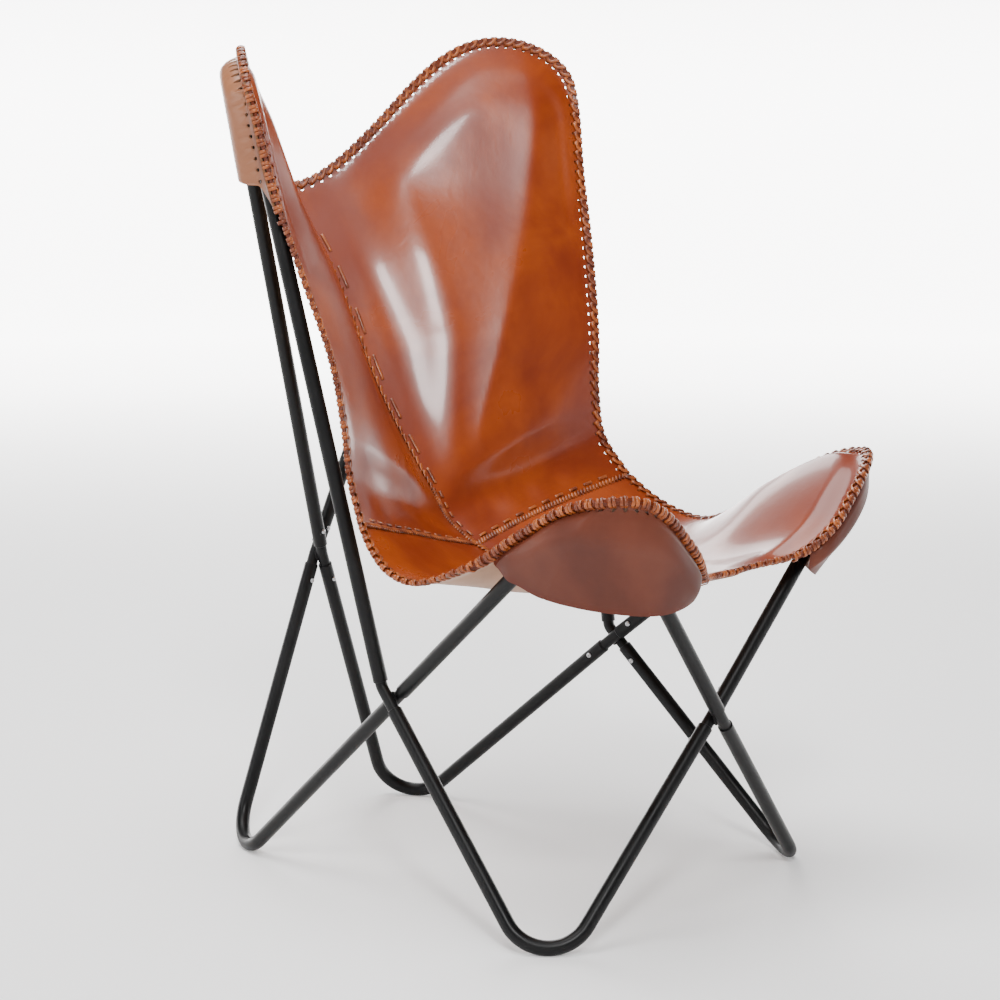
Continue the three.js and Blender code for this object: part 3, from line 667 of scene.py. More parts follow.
class BentPath:
    """A straight run, a round bend and a second straight run."""

    def __init__(self, start: Array, corner: Array, end: Array, radius: float) -> None:
        """Works out the bend.

        Args:
            start: the first end.
            corner: the sharp corner that the bend rounds.
            end: the other end.
            radius: the bend's radius on the centreline.
        """
        back, ahead = unit(start - corner), unit(end - corner)
        half = math.acos(float(back @ ahead)) / 2
        middle = unit(back + ahead)
        self.start, self.end, self.radius = start, end, radius
        self.centre = corner + middle * radius / math.sin(half)
        self.first = corner + back * radius / math.tan(half)
        self.out = unit(self.first - self.centre)
        self.along = -back
        self.ahead = ahead
        self.turn = math.pi - 2 * half
        self.apex = self.centre - middle * radius
        self.normal = unit(np.cross(back, ahead))

    def bend(self, steps: int) -> tuple[Array, Array]:
        """Stations and directions round the bend.

        Args:
            steps: parts of the bend.

        Returns:
            The stations and the directions.
        """
        angles = np.linspace(0, self.turn, steps + 1)[:, None]
        points = self.centre + self.radius * (np.cos(angles) * self.out
                                              + np.sin(angles) * self.along)
        return points, np.cos(angles) * self.along - np.sin(angles) * self.out

    def stations(self, steps: int, lip: float) -> tuple[Array, Array]:
        """Stations and directions of the whole path, with one more close to each end.

        Args:
            steps: parts of the bend.
            lip: how close to each end.

        Returns:
            The stations and the directions.
        """
        points, tangents = self.bend(steps)
        heads = np.array([self.start, self.start + lip * self.along])
        tails = np.array([self.end - lip * self.ahead, self.end])
        return (np.concatenate([heads, points, tails]),
                np.concatenate([[tangents[0]] * 2, tangents, [tangents[-1]] * 2]))


@dataclass
class SteelFrame:
    """Eight bent tubes, four welded cross connectors and sixteen screws."""

    tube_diameter: float = 16 * MM
    tube_wall: float = 1.2 * MM
    fit: float = 0.3 * MM
    spigot_length: float = 36 * MM
    weld_sink: float = 0.15 * MM
    weld_size: tuple = (17 * MM, 5 * MM, 11 * MM)
    foot_bend: float = 46 * MM
    wing_bend: float = 42 * MM
    horn_bend: float = 60 * MM
    rod_bend: float = 14 * MM
    side_hub: tuple = (198 * MM, 0.0, 226.5 * MM)
    front_hub: tuple = (0.0, -277 * MM, 211 * MM)
    back_hub: tuple = (0.0, 290 * MM, 323 * MM)
    side_bend_rise: float = 17 * MM
    front_foot: tuple = (244 * MM, -240 * MM)
    back_foot: tuple = (148 * MM, 305 * MM)
    wing: tuple = (250 * MM, -310 * MM, 489 * MM)
    horn: tuple = (290 * MM, 184 * MM, 1105 * MM)
    tube_end_gap: float = 13 * MM
    bend_end_gap: float = 1.5 * MM
    foot_flat: float = 0.5 * MM
    foot_tries: int = 24
    screw_inset: float = 20 * MM
    screw_head: float = 5.6 * MM
    screw_height: float = 1.9 * MM
    screw_seat: float = 0.05 * MM
    screw_sides: int = 18
    lip: float = 0.5 * MM
    sides: int = 40
    bend_steps: int = 30
    paths: dict = field(default_factory=dict)
    rods: dict = field(default_factory=dict)

    def __post_init__(self) -> None:
        """Works out the crossings, the rods and the tubes' paths."""
        self.rod = self.tube_diameter - 2 * (self.tube_wall + self.fit)
        mirror = np.array([-1, 1, 1])
        self.hubs = {
            "left": (np.array(self.side_hub), np.array([1.0, 0, 0])),
            "right": (np.array(self.side_hub) * mirror, np.array([-1.0, 0, 0])),
            "front": (np.array(self.front_hub), np.array([0, -1.0, 0])),
            "back": (np.array(self.back_hub), np.array([0, 1.0, 0])),
        }
        wing, horn = np.array(self.wing), np.array(self.horn)
        x, y = self.front_foot
        fronts = (self.foot(x, y, self.rod_at("left", 1), self.rod_at("front", 1)),
                  self.foot(-x, y, self.rod_at("right", 1), self.rod_at("front", -1)))
        x, y = self.back_foot
        backs = (self.foot(x, y, self.rod_at("left", -1), self.rod_at("back", -1)),
                 self.foot(-x, y, self.rod_at("right", -1), self.rod_at("back", 1)))
        self.add_rod("left_outer", "left", 1, fronts[0], horn, True)
        self.add_rod("left_inner", "left", -1, backs[0], wing, False)
        self.add_rod("right_outer", "right", 1, fronts[1], horn * mirror, True)
        self.add_rod("right_inner", "right", -1, backs[1], wing * mirror, False)
        self.add_rod("front_outer", "front", 1, fronts[0], wing * mirror, False)
        self.add_rod("front_inner", "front", -1, fronts[1], wing, False)
        self.add_rod("back_inner", "back", -1, backs[0], horn * mirror, False)
        self.add_rod("back_outer", "back", 1, backs[1], horn, False)
        low, high = "low", "high"
        foot, top = self.foot_bend, self.horn_bend
        self.add_tube("front_left_leg", fronts[0], foot, "left_outer", "front_outer", low)
        self.add_tube("front_right_leg", fronts[1], foot, "right_outer", "front_inner", low)
        self.add_tube("back_left_leg", backs[0], foot, "left_inner", "back_inner", low)
        self.add_tube("back_right_leg", backs[1], foot, "right_inner", "back_outer", low)
        self.add_tube("left_wing_tube", wing, self.wing_bend, "left_inner", "front_inner", high)
        self.add_tube("right_wing_tube", wing * mirror, self.wing_bend, "right_inner",
                      "front_outer", high)
        self.add_tube("left_horn_tube", horn, top, "left_outer", "back_outer", high)
        self.add_tube("right_horn_tube", horn * mirror, top, "right_outer", "back_inner", high)

    def rod_at(self, hub: str, layer: int) -> Array:
        """Where a layer's rod crosses at a hub."""
        centre, outward = self.hubs[hub]
        return centre + outward * layer * (self.rod / 2 - self.weld_sink)

    def foot(self, x: float, y: float, first: Array, second: Array) -> Array:
        """A foot's sharp corner, so low that its bend just reaches the floor.

        Args:
            x: the corner's x.
            y: its y.
            first: where one leg's run starts.
            second: where the other's does.

        Returns:
            The corner.
        """
        corner = np.array([x, y, -self.foot_bend])
        target = self.tube_diameter / 2 - self.foot_flat
        for _ in range(self.foot_tries):
            lowest = BentPath(first, corner, second, self.foot_bend).bend(120)[0][:, 2].min()
            corner[2] += target - lowest
        return corner

    def add_rod(self, name: str, hub: str, layer: int, low: Array, high: Array,
                raised: bool) -> None:
        """Works out one rod: its bend and its two spigot mouths.

        Args:
            name: the rod's name.
            hub: its crossing.
            layer: 1 outside or -1 inside.
            low: the corner below.
            high: the corner above.
            raised: whether it bends above the crossing.
        """
        crossing = self.rod_at(hub, layer)
        bend = crossing + unit(crossing - low) * (self.side_bend_rise if raised else 0)
        turn = math.pi - math.acos(float(unit(low - bend) @ unit(high - bend)))
        gap = self.rod_bend * math.tan(turn / 2) + self.bend_end_gap
        self.rods[name] = {
            "hub": hub, "low": low, "high": high, "bend": bend, "crossing": crossing,
            "low_mouth": crossing + unit(low - crossing) * self.tube_end_gap,
            "high_mouth": bend + unit(high - bend) * (gap if raised else self.tube_end_gap),
        }

    def add_tube(self, name: str, corner: Array, radius: float, first: str, second: str,
                 end: str) -> None:
        """Works out one tube's path between two spigot mouths."""
        mouths = [self.rods[rod][f"{end}_mouth"] for rod in (first, second)]
        self.paths[name] = (BentPath(mouths[0], corner, mouths[1], radius),
                            ((first, end), (second, end)))

    def centreline(self, name: str, side: Side) -> Array:
        """Close places along the bent part of a tube, seen from the left half.

        Args:
            name: the tube's name.
            side: the half that it stands in.

        Returns:
            The places.
        """
        path = self.paths[name][0]
        points = path.bend(60)[0]
        runs = [path.start + (points[0] - path.start) * np.linspace(0.35, 1, 110)[:, None],
                points, points[-1] + (path.end - points[-1]) * np.linspace(0, 0.65, 110)[:, None]]
        return mirrored(np.concatenate(runs), side)

    def make_tube(self, name: str, paint: Material) -> None:
        """One hollow tube with rounded ends, flat where it meets the floor.

        Args:
            name: the tube's name.
            paint: its material.
        """
        path = self.paths[name][0]
        points, tangents = path.stations(self.bend_steps, self.lip)
        outer, inner = self.tube_diameter / 2, self.tube_diameter / 2 - self.tube_wall
        radii = np.full(len(points), outer)
        radii[[0, -1]] = outer - self.lip
        walls = [rings(points, tangents, path.normal, radii, self.sides),
                 rings(points, tangents, path.normal, np.full(len(points), inner),
                       self.sides)[::-1]]
        grid = np.concatenate(walls)
        places = grid.reshape(-1, 3)
        if "leg" in name:
            places[:, 2] = np.maximum(places[:, 2], 0)
        faces = grid_faces(len(grid), self.sides, True, True)
        piece = make_object(name + "_finished", places, faces)
        piece.data.flip_normals()
        piece.data.materials.append(paint)
        finish_piece(piece, "frame_enamel", name)

    def rod_mesh(self, rod: dict) -> tuple[Array, list]:
        """Points and faces of one bent rod with closed ends.

        Args:
            rod: the rod's values.

        Returns:
            The points and the faces.
        """
        ends = [rod[f"{end}_mouth"] + unit(rod[end] - rod[f"{end}_mouth"]) * self.spigot_length
                for end in ("low", "high")]
        path = BentPath(ends[0], rod["bend"], ends[1], self.rod_bend)
        points, tangents = path.stations(12, 2 * self.fit)
        radii = np.full(len(points), self.rod / 2)
        radii[[0, -1]] -= 2 * self.fit
        grid = rings(points, tangents, path.normal, radii, self.sides)
        faces = grid_faces(len(grid), self.sides, False, True)
        last = (len(grid) - 1) * self.sides
        faces.append(tuple(range(self.sides))[::-1])
        faces.append(tuple(last + k for k in range(self.sides)))
        return grid.reshape(-1, 3), [tuple(face[::-1]) for face in faces]

    def weld_mesh(self, hub: str, pair: list) -> tuple[Array, list]:
        """Points and faces of the weld's bead between two rods.

        Args:
            hub: the crossing.
            pair: its two rods.

        Returns:
            The points and the faces.
        """
        centre, outward = self.hubs[hub]
        rise = sum(unit(rod["crossing"] - rod["low"]) for rod in pair)
        long = unit(rise - outward * float(rise @ outward))
        across = np.cross(long, outward)
        rows, columns = 14, 24
        polar = np.linspace(0.02, math.pi - 0.02, rows)
        around = np.linspace(0, 2 * math.pi, columns, endpoint=False)
        ripple = 1 + 0.05 * np.cos(9 * polar)
        sine = (np.sin(polar) * ripple)[:, None]
        grid = (np.cos(polar)[:, None, None] * long * self.weld_size[0] / 2
                + (sine * np.cos(around))[..., None] * outward * self.weld_size[1] / 2
                + (sine * np.sin(around))[..., None] * across * self.weld_size[2] / 2)
        faces = grid_faces(rows, columns, False, True)
        last = (rows - 1) * columns
        faces.append(tuple(range(columns))[::-1])
        faces.append(tuple(last + k for k in range(columns)))
        return centre + grid.reshape(-1, 3), faces

    def make_connector(self, hub: str, paint: Material) -> None:
        """Two rods and the weld between them as one piece.

        Args:
            hub: the crossing.
            paint: the material.
        """
        pair = [rod for rod in self.rods.values() if rod["hub"] == hub]
        places, faces = [], []
        for points, quads in (*map(self.rod_mesh, pair), self.weld_mesh(hub, pair)):
            start = sum(len(held) for held in places)
            places.append(points)
            faces.extend([tuple(start + k for k in quad) for quad in quads])
        name = f"{hub}_cross_connector"
        piece = make_object(name + "_finished", np.concatenate(places), faces)
        merge_close(piece.data)
        piece.data.materials.append(paint)
        finish_piece(piece, "frame_enamel", name)

    def screw_shape(self) -> Object:
        """One pan head with a round socket, standing on the origin.

        Returns:
            The screw, to be copied.
        """
        head, height = self.screw_head / 2, self.screw_height
        profile = [(0.0, -height), (0.5 * head, -height), (0.5 * head, 0.0), (head, 0.0),
                   (head, 0.45 * height), (0.86 * head, 0.8 * height), (0.6 * head, height),
                   (0.42 * head, 0.95 * height), (0.4 * head, 0.45 * height),
                   (0.0, 0.4 * height)]
        sides = self.screw_sides
        places = [(r * math.cos(a), r * math.sin(a), z) for r, z in profile
                  for a in np.linspace(0, 2 * math.pi, sides, endpoint=False)]
        faces = grid_faces(len(profile), sides, False, True)
        mesh = bpy.data.meshes.new("screw_shape")
        mesh.from_pydata(places, [], faces)
        shape = bpy.data.objects.new("screw_shape", mesh)
        merge_close(mesh, 0.01 * MM)
        return shape

    def make_screws(self, copies: CopyTree, paint: Material) -> None:
        """All sixteen screws, one through each tube end, facing the inside of the chair.

        Args:
            copies: the tree that sets copies.
            paint: the material.
        """
        places, facing, heading, nodes = [], [], [], []
        for name, (_, joins) in self.paths.items():
            for index, (rod_name, end) in enumerate(joins):
                rod = self.rods[rod_name]
                mouth = rod[f"{end}_mouth"]
                axis = unit(rod[end] - mouth)
                inward = -self.hubs[rod["hub"]][1]
                inward = unit(inward - axis * float(inward @ axis))
                places.append(mouth + axis * self.screw_inset
                              + inward * (self.tube_diameter / 2 + self.screw_seat))
                facing.append(inward)
                heading.append(axis)
                nodes.append(f"{name}_screw_{index + 1}")
        piece = copies.lay("tube_screws", np.array(places), np.array(facing),
                           np.array(heading), self.screw_shape(), paint)
        finish_piece(piece, "screw_steel", *nodes)

    def build(self, copies: CopyTree) -> None:
        """Makes every piece of the frame.

        Args:
            copies: the tree that sets the screws.
        """
        enamel = ENAMEL.material()
        for name in self.paths:
            self.make_tube(name, enamel)
        for hub in self.hubs:
            self.make_connector(hub, enamel)
        self.make_screws(copies, STEEL.material())


def merge_close(mesh: Mesh, reach: float = 0.001 * MM) -> None:
    """Joins vertices that lie closer than reach and turns the faces outwards.

    Args:
        mesh: the mesh, changed in place.
        reach: how close, in metres.
    """
    shell = bmesh.new()
    shell.from_mesh(mesh)
    bmesh.ops.remove_doubles(shell, verts=shell.verts, dist=reach)
    bmesh.ops.recalc_face_normals(shell, faces=shell.faces)
    shell.to_mesh(mesh)
    shell.free()


# The leather sling's shape


@dataclass
class SlingShape:
    """The middle surfaces of the left half of the sling, by shares across and along."""

    horn: Array
    wing: Array
    thickness: float = 3.2 * MM
    pocket_thickness: float = 2.6 * MM
    layer_gap: float = 0.3 * MM
    seam_gap: float = 1.0 * MM
    seat_height: float = 333 * MM
    notch_reach: float = 335 * MM
    edge_reach: float = 4.5 * MM
    lace_band: float = 11 * MM
    edge_dip: float = 2.5 * MM
    edge_roll: float = 16 * MM
    horn_crown: float = 14 * MM
    wing_crown: float = 7 * MM
    horn_pocket_depth: float = 22 * MM
    horn_pocket_flare: float = 5 * MM
    wing_pocket_depth: float = 17 * MM
    ridge_rise: float = 8 * MM
    ridge_low: tuple = (0.33, 0.33)
    ridge_high: tuple = (0.87, 0.87)
    ridge_bend: float = 2.2
    swell_end: float = 0.40
    swell_full: float = 0.6
    top_lip: float = 6 * MM
    top_fall: float = 80 * MM
    horn_rise: tuple = (12 * MM, -8 * MM)
    slack: float = 0.5 * MM
    back_seam_shares: tuple = (
        (0.15, 0.046), (0.27, 0.091), (0.34, 0.148), (0.56, 0.332),
        (0.79, 0.591), (1, 0.766), (1.1, 0.905), (1.185, 1.055))
    back_edge_shares: tuple = (
        (0.985, 0.056, 0.15), (0.93, 0.213, 0.235), (0.925, 0.258, 0.323), (0.965, 0.309, 0.458),
        (1.045, 0.449, 0.63), (1.105, 0.59, 0.79), (1.135, 0.669, 0.922), (1.135, 0.787, 1.055))
    seat_seam_shares: tuple = (
        (0, 0.079), (-0.176, 0.018), (-0.387, 0), (-0.616, 0.053),
        (-0.845, 0.167), (-1.05, 0.316), (-1.2, 0.41))
    seat_edge_shares: tuple = (
        (1.09, -0.053, 0.535), (1.135, -0.169, 0.377), (1.145, -0.3, 0.325), (1.095, -0.51, 0.52),
        (1.065, -0.722, 0.86), (1.075, -0.944, 1.15), (1.05, -1.195, 1.3))

    def __post_init__(self) -> None:
        """Sets the seam and edge curves."""
        back_rise = self.horn[2] - self.seat_height
        wing_rise = self.wing[2] - self.seat_height
        reach, base = -self.wing[1], self.seat_height
        self.back_seam = Spline([(0, y * self.notch_reach, base + z * back_rise)
                                 for y, z in self.back_seam_shares])
        self.back_edge = Spline([(x * self.horn[0], y * self.horn[1], base + z * back_rise)
                                 for x, y, z in self.back_edge_shares])
        self.seat_seam = Spline([self.back_seam.at(0)[0]] + [
            (0, y * reach, base + z * wing_rise) for y, z in self.seat_seam_shares])
        self.seat_edge = Spline([self.back_edge.at(0)[0]] + [
            (x * self.wing[0], y * reach, base + z * wing_rise)
            for x, y, z in self.seat_edge_shares])

    # Outlines, as shares of the panels

    @staticmethod
    def horn_top(w: Array) -> Array:
        """The back's end share over its width: the notch, the horn's tip and its side."""
        run = np.clip((w - 0.8) / 0.2, 0, 1)
        return np.where(w < 0.8, 5 / 7 + 2 / 7 * smooth(w / 0.8),
                        0.9 + 0.1 * np.sqrt(1 - run * run))

    @staticmethod
    def wing_front(w: Array) -> Array:
        """The seat's end share over its width: the front's dip, the wing's tip and its side."""
        run = np.clip((w - 0.7) / 0.3, 0, 1)
        return np.where(w < 0.7, 6 / 7 + 1 / 7 * smooth((w - 0.08) / 0.52),
                        0.9 + 0.1 * np.sqrt(1 - run * run))

    def back_sheet(self, w: Array, t: Array) -> Array:
        """The back's middle surface before it is crowned.

        Args:
            w: shares across.
            t: shares along.

        Returns:
            The places.
        """
        seam, edge = self.back_seam.at(t), self.back_edge.at(t)
        bend = smooth(t / 0.35)
        bow = np.abs(w) ** 2.2 * (1 - bend) + w * bend
        return paired(w * edge[:, 0], seam[:, 1] + (edge[:, 1] - seam[:, 1]) * bow,
                      seam[:, 2] + (edge[:, 2] - seam[:, 2]) * w)

    def seat_sheet(self, w: Array, t: Array) -> Array:
        """The seat's middle surface before it is crowned.

        Args:
            w: shares across.
            t: shares along.

        Returns:
            The places.
        """
        seam, edge = self.seat_seam.at(t), self.seat_edge.at(t)
        bend, flat = smooth(t / 0.35), smooth(t / 0.8)
        bow = np.abs(w) ** 2.2 * (1 - bend) + w * bend
        lift = w * (1 - flat) + smooth((w - 0.3) / 0.7) * flat
        lift = lift + np.maximum(w - 1, 0) * flat
        return paired(w * edge[:, 0], seam[:, 1] + (edge[:, 1] - seam[:, 1]) * bow,
                      seam[:, 2] + (edge[:, 2] - seam[:, 2]) * lift)


@dataclass(frozen=True)
class TubeGuard:
    """Keeps leather off a tube: a round crest over it that falls away to both sides."""

    places: Array
    radius: float

    def crest(self, points: Array, normals: Array, facing: int) -> Array:
        """How far along its normal each point must go to lie on the tube's near side.

        Args:
            points: places on a sheet.
            normals: the sheet's normals there.
            facing: 1 for leather on the normal's side of the tube, or -1 for behind it.

        Returns:
            Heights along the normal, very low where no tube is near.
        """
        heights = np.full(len(points), -np.inf)
        turn = self.radius * math.sqrt(0.5)
        for start in range(0, len(points), 2000):
            part = slice(start, start + 2000)
            gap = self.places[None] - points[part, None]
            above = facing * dot(gap, normals[part, None])
            beside = np.sqrt(np.maximum(dot(gap, gap) - above ** 2, 0))
            round_top = np.sqrt(np.maximum(self.radius ** 2 - beside ** 2, 0))
            crest = above + np.where(beside < turn, round_top, 2 * turn - beside)
            heights[part] = crest.max(axis=1)
        return np.maximum(heights, -1.0)


@dataclass
class Panel:
    """One leather panel of a half: its outline in shares, its surface and its holes."""

    name: str
    shape: SlingShape
    sheet: Surface
    end: Callable[[Array], Array]
    sign: int
    tip_share: float
    side_share: float
    scale: tuple
    roll: float
    side: Side
    guard: TubeGuard
    share_step: float = 0.002

    def __post_init__(self) -> None:
        """Works out the laced outline, moved out by the lace's reach."""
        side_t = np.linspace(0, self.side_share, 70, endpoint=False)
        turn = np.linspace(0, math.pi / 2, 40)
        corner_w = self.tip_share + (1 - self.tip_share) * np.cos(turn)
        corner_t = self.side_share + (1 - self.side_share) * np.sin(turn)
        top_w = np.linspace(self.tip_share, 0, 90)[1:]
        w = np.concatenate([np.ones(70), corner_w, top_w])
        t = np.concatenate([side_t, corner_t, self.end(np.minimum(top_w, self.tip_share - 1e-6))])
        flat = paired(w * self.scale[0], t * self.scale[1])
        along = unit(np.gradient(flat, axis=0))
        flat = flat + self.shape.edge_reach * paired(along[:, 1], -along[:, 0])
        flat[0, 1], flat[-1, 0] = 0, 0
        self.outline = flat

    def shares(self, flat: Array) -> tuple[Array, Array]:
        """Shares across and along from flat coordinates in metres."""
        return flat[:, 0] / self.scale[0], flat[:, 1] / self.scale[1]

    def inset(self, flat: Array) -> Array:
        """Distance in from the laced outline, roughly.

        Args:
            flat: flat coordinates.

        Returns:
            The distances.
        """
        a, b = self.outline[:-1], self.outline[1:]
        run = b - a
        length = np.maximum(dot(run, run), 1e-12)
        nearest = np.full(len(flat), np.inf)
        for start in range(0, len(flat), 4000):
            part = flat[start:start + 4000, None, :]
            share = np.clip(dot(part - a, run) / length, 0, 1)
            gap = np.linalg.norm(part - a - share[..., None] * run, axis=-1)
            nearest[start:start + 4000] = gap.min(axis=1)
        return nearest

    def base(self, w: Array, t: Array) -> Array:
        """The surface before it is crowned, with this side's pull on its horn.

        Args:
            w: shares across.
            t: shares along.

        Returns:
            The places.
        """
        points = self.sheet(w, t)
        if self.name == "back":
            rise = self.shape.horn_rise[0 if self.side is Side.LEFT else 1]
            points[:, 2] += rise * smooth((t - 0.5) / 0.5) * smooth(w / 0.7)
        return points

    def base_normal(self, w: Array, t: Array) -> Array:
        """Normals of the uncrowned surface, towards the sitter.

        Args:
            w: shares across.
            t: shares along.

        Returns:
            The normals.
        """
        step = self.share_step
        across = self.base(w + step, t) - self.base(w - step * (w > step), t)
        along = self.base(w, t + step) - self.base(w, t - step)
        return self.sign * unit(np.cross(across, along))

    def dip(self, inset: Array) -> Array:
        """How far the laced edge stands up from the leather beside it."""
        band, roll = self.shape.lace_band, self.roll
        return self.shape.edge_dip * smooth(inset / band) * (1 - smooth((inset - band) / roll))

    def ridge(self, t: Array) -> Array:
        """The share across of the ridge that runs from the seat up to the horn.

        Args:
            t: shares along.

        Returns:
            Shares across.
        """
        (low_w, low_t), (high_w, high_t) = self.shape.ridge_low, self.shape.ridge_high
        fall = np.clip((high_t - t) / (high_t - low_t), 0, 1)
        return high_w - (high_w - low_w) * fall ** self.shape.ridge_bend

    def swell(self, w: Array, t: Array) -> Array:
        """The back's rise beside the centre seam, its hollow, and its ridge, which falls away
        to the side edge.

        Args:
            w: shares across.
            t: shares along.

        Returns:
            The heights.
        """
        shape, ridge = self.shape, self.ridge(t)
        end = shape.swell_end * np.minimum(1, ridge / shape.swell_full)
        rise = shape.horn_crown * smooth((w / end - 0.3) / 0.7)
        rise = rise + shape.ridge_rise * np.clip((w - end) / (ridge - end), 0, 1) ** 2
        run = (1 - ridge) * self.scale[0] - shape.lace_band
        fall = levelled(((1 - w) * self.scale[0] - shape.lace_band) / run)
        room = (self.end(np.minimum(w, 1)) - t) * self.scale[1]
        top = levelled((room + shape.top_lip) / shape.top_fall)
        tall = smooth((t - 0.2) / 0.35) * (1 - 0.45 * smooth((t - 0.7) / 0.25))
        return rise * fall * top * tall

    def creases(self, w: Array, t: Array, phase: float) -> Array:
        """Shallow creases where the back bends into the seat."""
        waves = np.sin(70 * t * self.scale[1] / 0.1 + 5 * np.sin(3.5 * w + phase))
        return 0.5 * MM * waves * np.exp(-(((t - 0.07) / 0.05) ** 2))

    def relief(self, flat: Array) -> Array:
        """How far the leather stands off its base: crown, folds and slack.

        Args:
            flat: flat coordinates.

        Returns:
            The heights.
        """
        w, t = self.shares(flat)
        inset = self.inset(flat)
        zone = smooth((t - 0.42) / 0.28) * smooth(w / 0.35)
        roll = (inset - self.shape.lace_band) / self.roll
        height = -zone * self.dip(inset)
        calm = smooth((inset - self.shape.lace_band) / (30 * MM)) * smooth(w / 0.12)
        phase = 1.3 if self.side is Side.LEFT else 2.9
        slack = (np.sin(9 * w + 5 * t + phase) * np.sin(7 * t - 4 * w + phase)
                 + 0.5 * np.sin(17 * w - 6 * t + 2 * phase))
        height = height + self.shape.slack * slack * calm
        if self.name == "back":
            return height + self.swell(w, t) + self.creases(w, t, phase) * calm
        return height + zone * self.shape.wing_crown * smooth(roll)

    def middle(self, flat: Array) -> Array:
        """The leather's middle surface at flat coordinates.

        Args:
            flat: flat coordinates.

        Returns:
            The places.
        """
        w, t = self.shares(flat)
        points, normals, height = self.base(w, t), self.base_normal(w, t), self.relief(flat)
        near = t > 0.35
        if near.any():
            crest = self.guard.crest(points[near], normals[near], 1)
            height[near] = soft_max(height[near], crest, 12 * MM)
        return points + normals * height[:, None]

    def moved(self, w: Array, t: Array, shift: Array) -> tuple[Array, Array]:
        """Shares moved by a small vector along the surface.

        Args:
            w: shares across.
            t: shares along.
            shift: the vector for each, in metres.

        Returns:
            The new shares across and along.
        """
        step = self.share_step
        across = (self.base(w + step, t) - self.base(w - step, t)) / (2 * step)
        along = (self.base(w, t + step) - self.base(w, t - step)) / (2 * step)
        a, b, c = dot(across, across), dot(across, along), dot(along, along)
        p, q = dot(across, shift), dot(along, shift)
        d = a * c - b * b
        return w + (c * p - b * q) / d, t + (a * q - b * p) / d


def side_normals(flat: Array, middle: Callable[[Array], Array], sign: int) -> Array:
    """Normals of a surface given over flat coordinates.

    Args:
        flat: flat coordinates.
        middle: the surface.
        sign: 1 or -1, which side.

    Returns:
        The normals.
    """
    step = 0.4 * MM
    right, ahead = np.array([step, 0]), np.array([0, step])
    across = middle(flat + right) - middle(flat - right)
    along = middle(flat + ahead) - middle(flat - ahead)
    return sign * unit(np.cross(across, along))


@dataclass
class CutSheet:
    """A sheet cut from flat leather: an outline, punched holes and an even mesh between."""

    outline: Array
    holes: list
    spacing: float

    def triangles(self) -> tuple[Array, list]:
        """Flat points and the triangles between them, with the holes left out.

        Returns:
            The points and the triangles.
        """
        low, high = self.outline.min(axis=0), self.outline.max(axis=0)
        rows = np.arange(low[1] + self.spacing / 2, high[1], self.spacing * 0.866)
        seeds = []
        for index, v in enumerate(rows):
            shift = self.spacing / 2 * (index % 2)
            us = np.arange(low[0] + self.spacing / 2 + shift, high[0], self.spacing)
            seeds.append(paired(us, np.full(len(us), v)))
        seeds = np.concatenate(seeds)
        seeds = seeds[inside_ring(seeds, self.outline)]
        seeds = seeds[self.clear(seeds, self.outline, self.spacing * 0.55)]
        for hole in self.holes:
            middle = hole.mean(axis=0)
            reach = np.linalg.norm(hole - middle, axis=1).max()
            seeds = seeds[np.linalg.norm(seeds - middle, axis=1) > reach + self.spacing * 0.35]
        points = [self.outline, *self.holes, seeds]
        edges, start = [], 0
        for ring in points[:-1]:
            count = len(ring)
            edges += [(start + k, start + (k + 1) % count) for k in range(count)]
            start += count
        flat = np.concatenate(points)
        made = delaunay_2d_cdt([Vector(p) for p in flat.tolist()], edges, [], 1, 1e-7)
        places = np.array([tuple(p) for p in made[0]])
        faces = [tuple(face) for face in made[2]]
        centres = np.array([places[list(face)].mean(axis=0) for face in faces])
        keep = np.ones(len(faces), dtype=bool)
        for hole in self.holes:
            middle = hole.mean(axis=0)
            near = np.linalg.norm(hole - middle, axis=1).max()
            close = np.where(np.linalg.norm(centres - middle, axis=1) < near)[0]
            for index in close:
                if inside_ring(centres[index:index + 1], hole)[0]:
                    keep[index] = False
        faces = [face for face, kept in zip(faces, keep) if kept]
        used = sorted({k for face in faces for k in face})
        order = {old: new for new, old in enumerate(used)}
        return places[used], [tuple(order[k] for k in face) for face in faces]

    @staticmethod
    def clear(points: Array, ring: Array, gap: float) -> Array:
        """Which points lie further than gap from a ring's edges.

        Args:
            points: flat coordinates.
            ring: the ring's corners.
            gap: in metres.

        Returns:
            True where a point does.
        """
        a, run = ring, np.roll(ring, -1, axis=0) - ring
        length = np.maximum(dot(run, run), 1e-14)
        share = np.clip(dot(points[:, None] - a, run) / length, 0, 1)
        away = np.linalg.norm(points[:, None] - a - share[..., None] * run, axis=-1)
        return away.min(axis=1) > gap


def inside_ring(points: Array, ring: Array) -> Array:
    """Which points lie inside a closed ring, by counting crossings.

    Args:
        points: flat coordinates.
        ring: the ring's corners.

    Returns:
        True where a point does.
    """
    x, y = points[:, 0:1], points[:, 1:2]
    x1, y1 = ring[:, 0], ring[:, 1]
    x2, y2 = np.roll(x1, -1), np.roll(y1, -1)
    spans = (y1 > y) != (y2 > y)
    rise = np.where(np.abs(y2 - y1) < 1e-12, 1e-12, y2 - y1)
    crosses = x < (x2 - x1) * (y - y1) / rise + x1
    return (np.sum(spans & crosses, axis=1) % 2) == 1


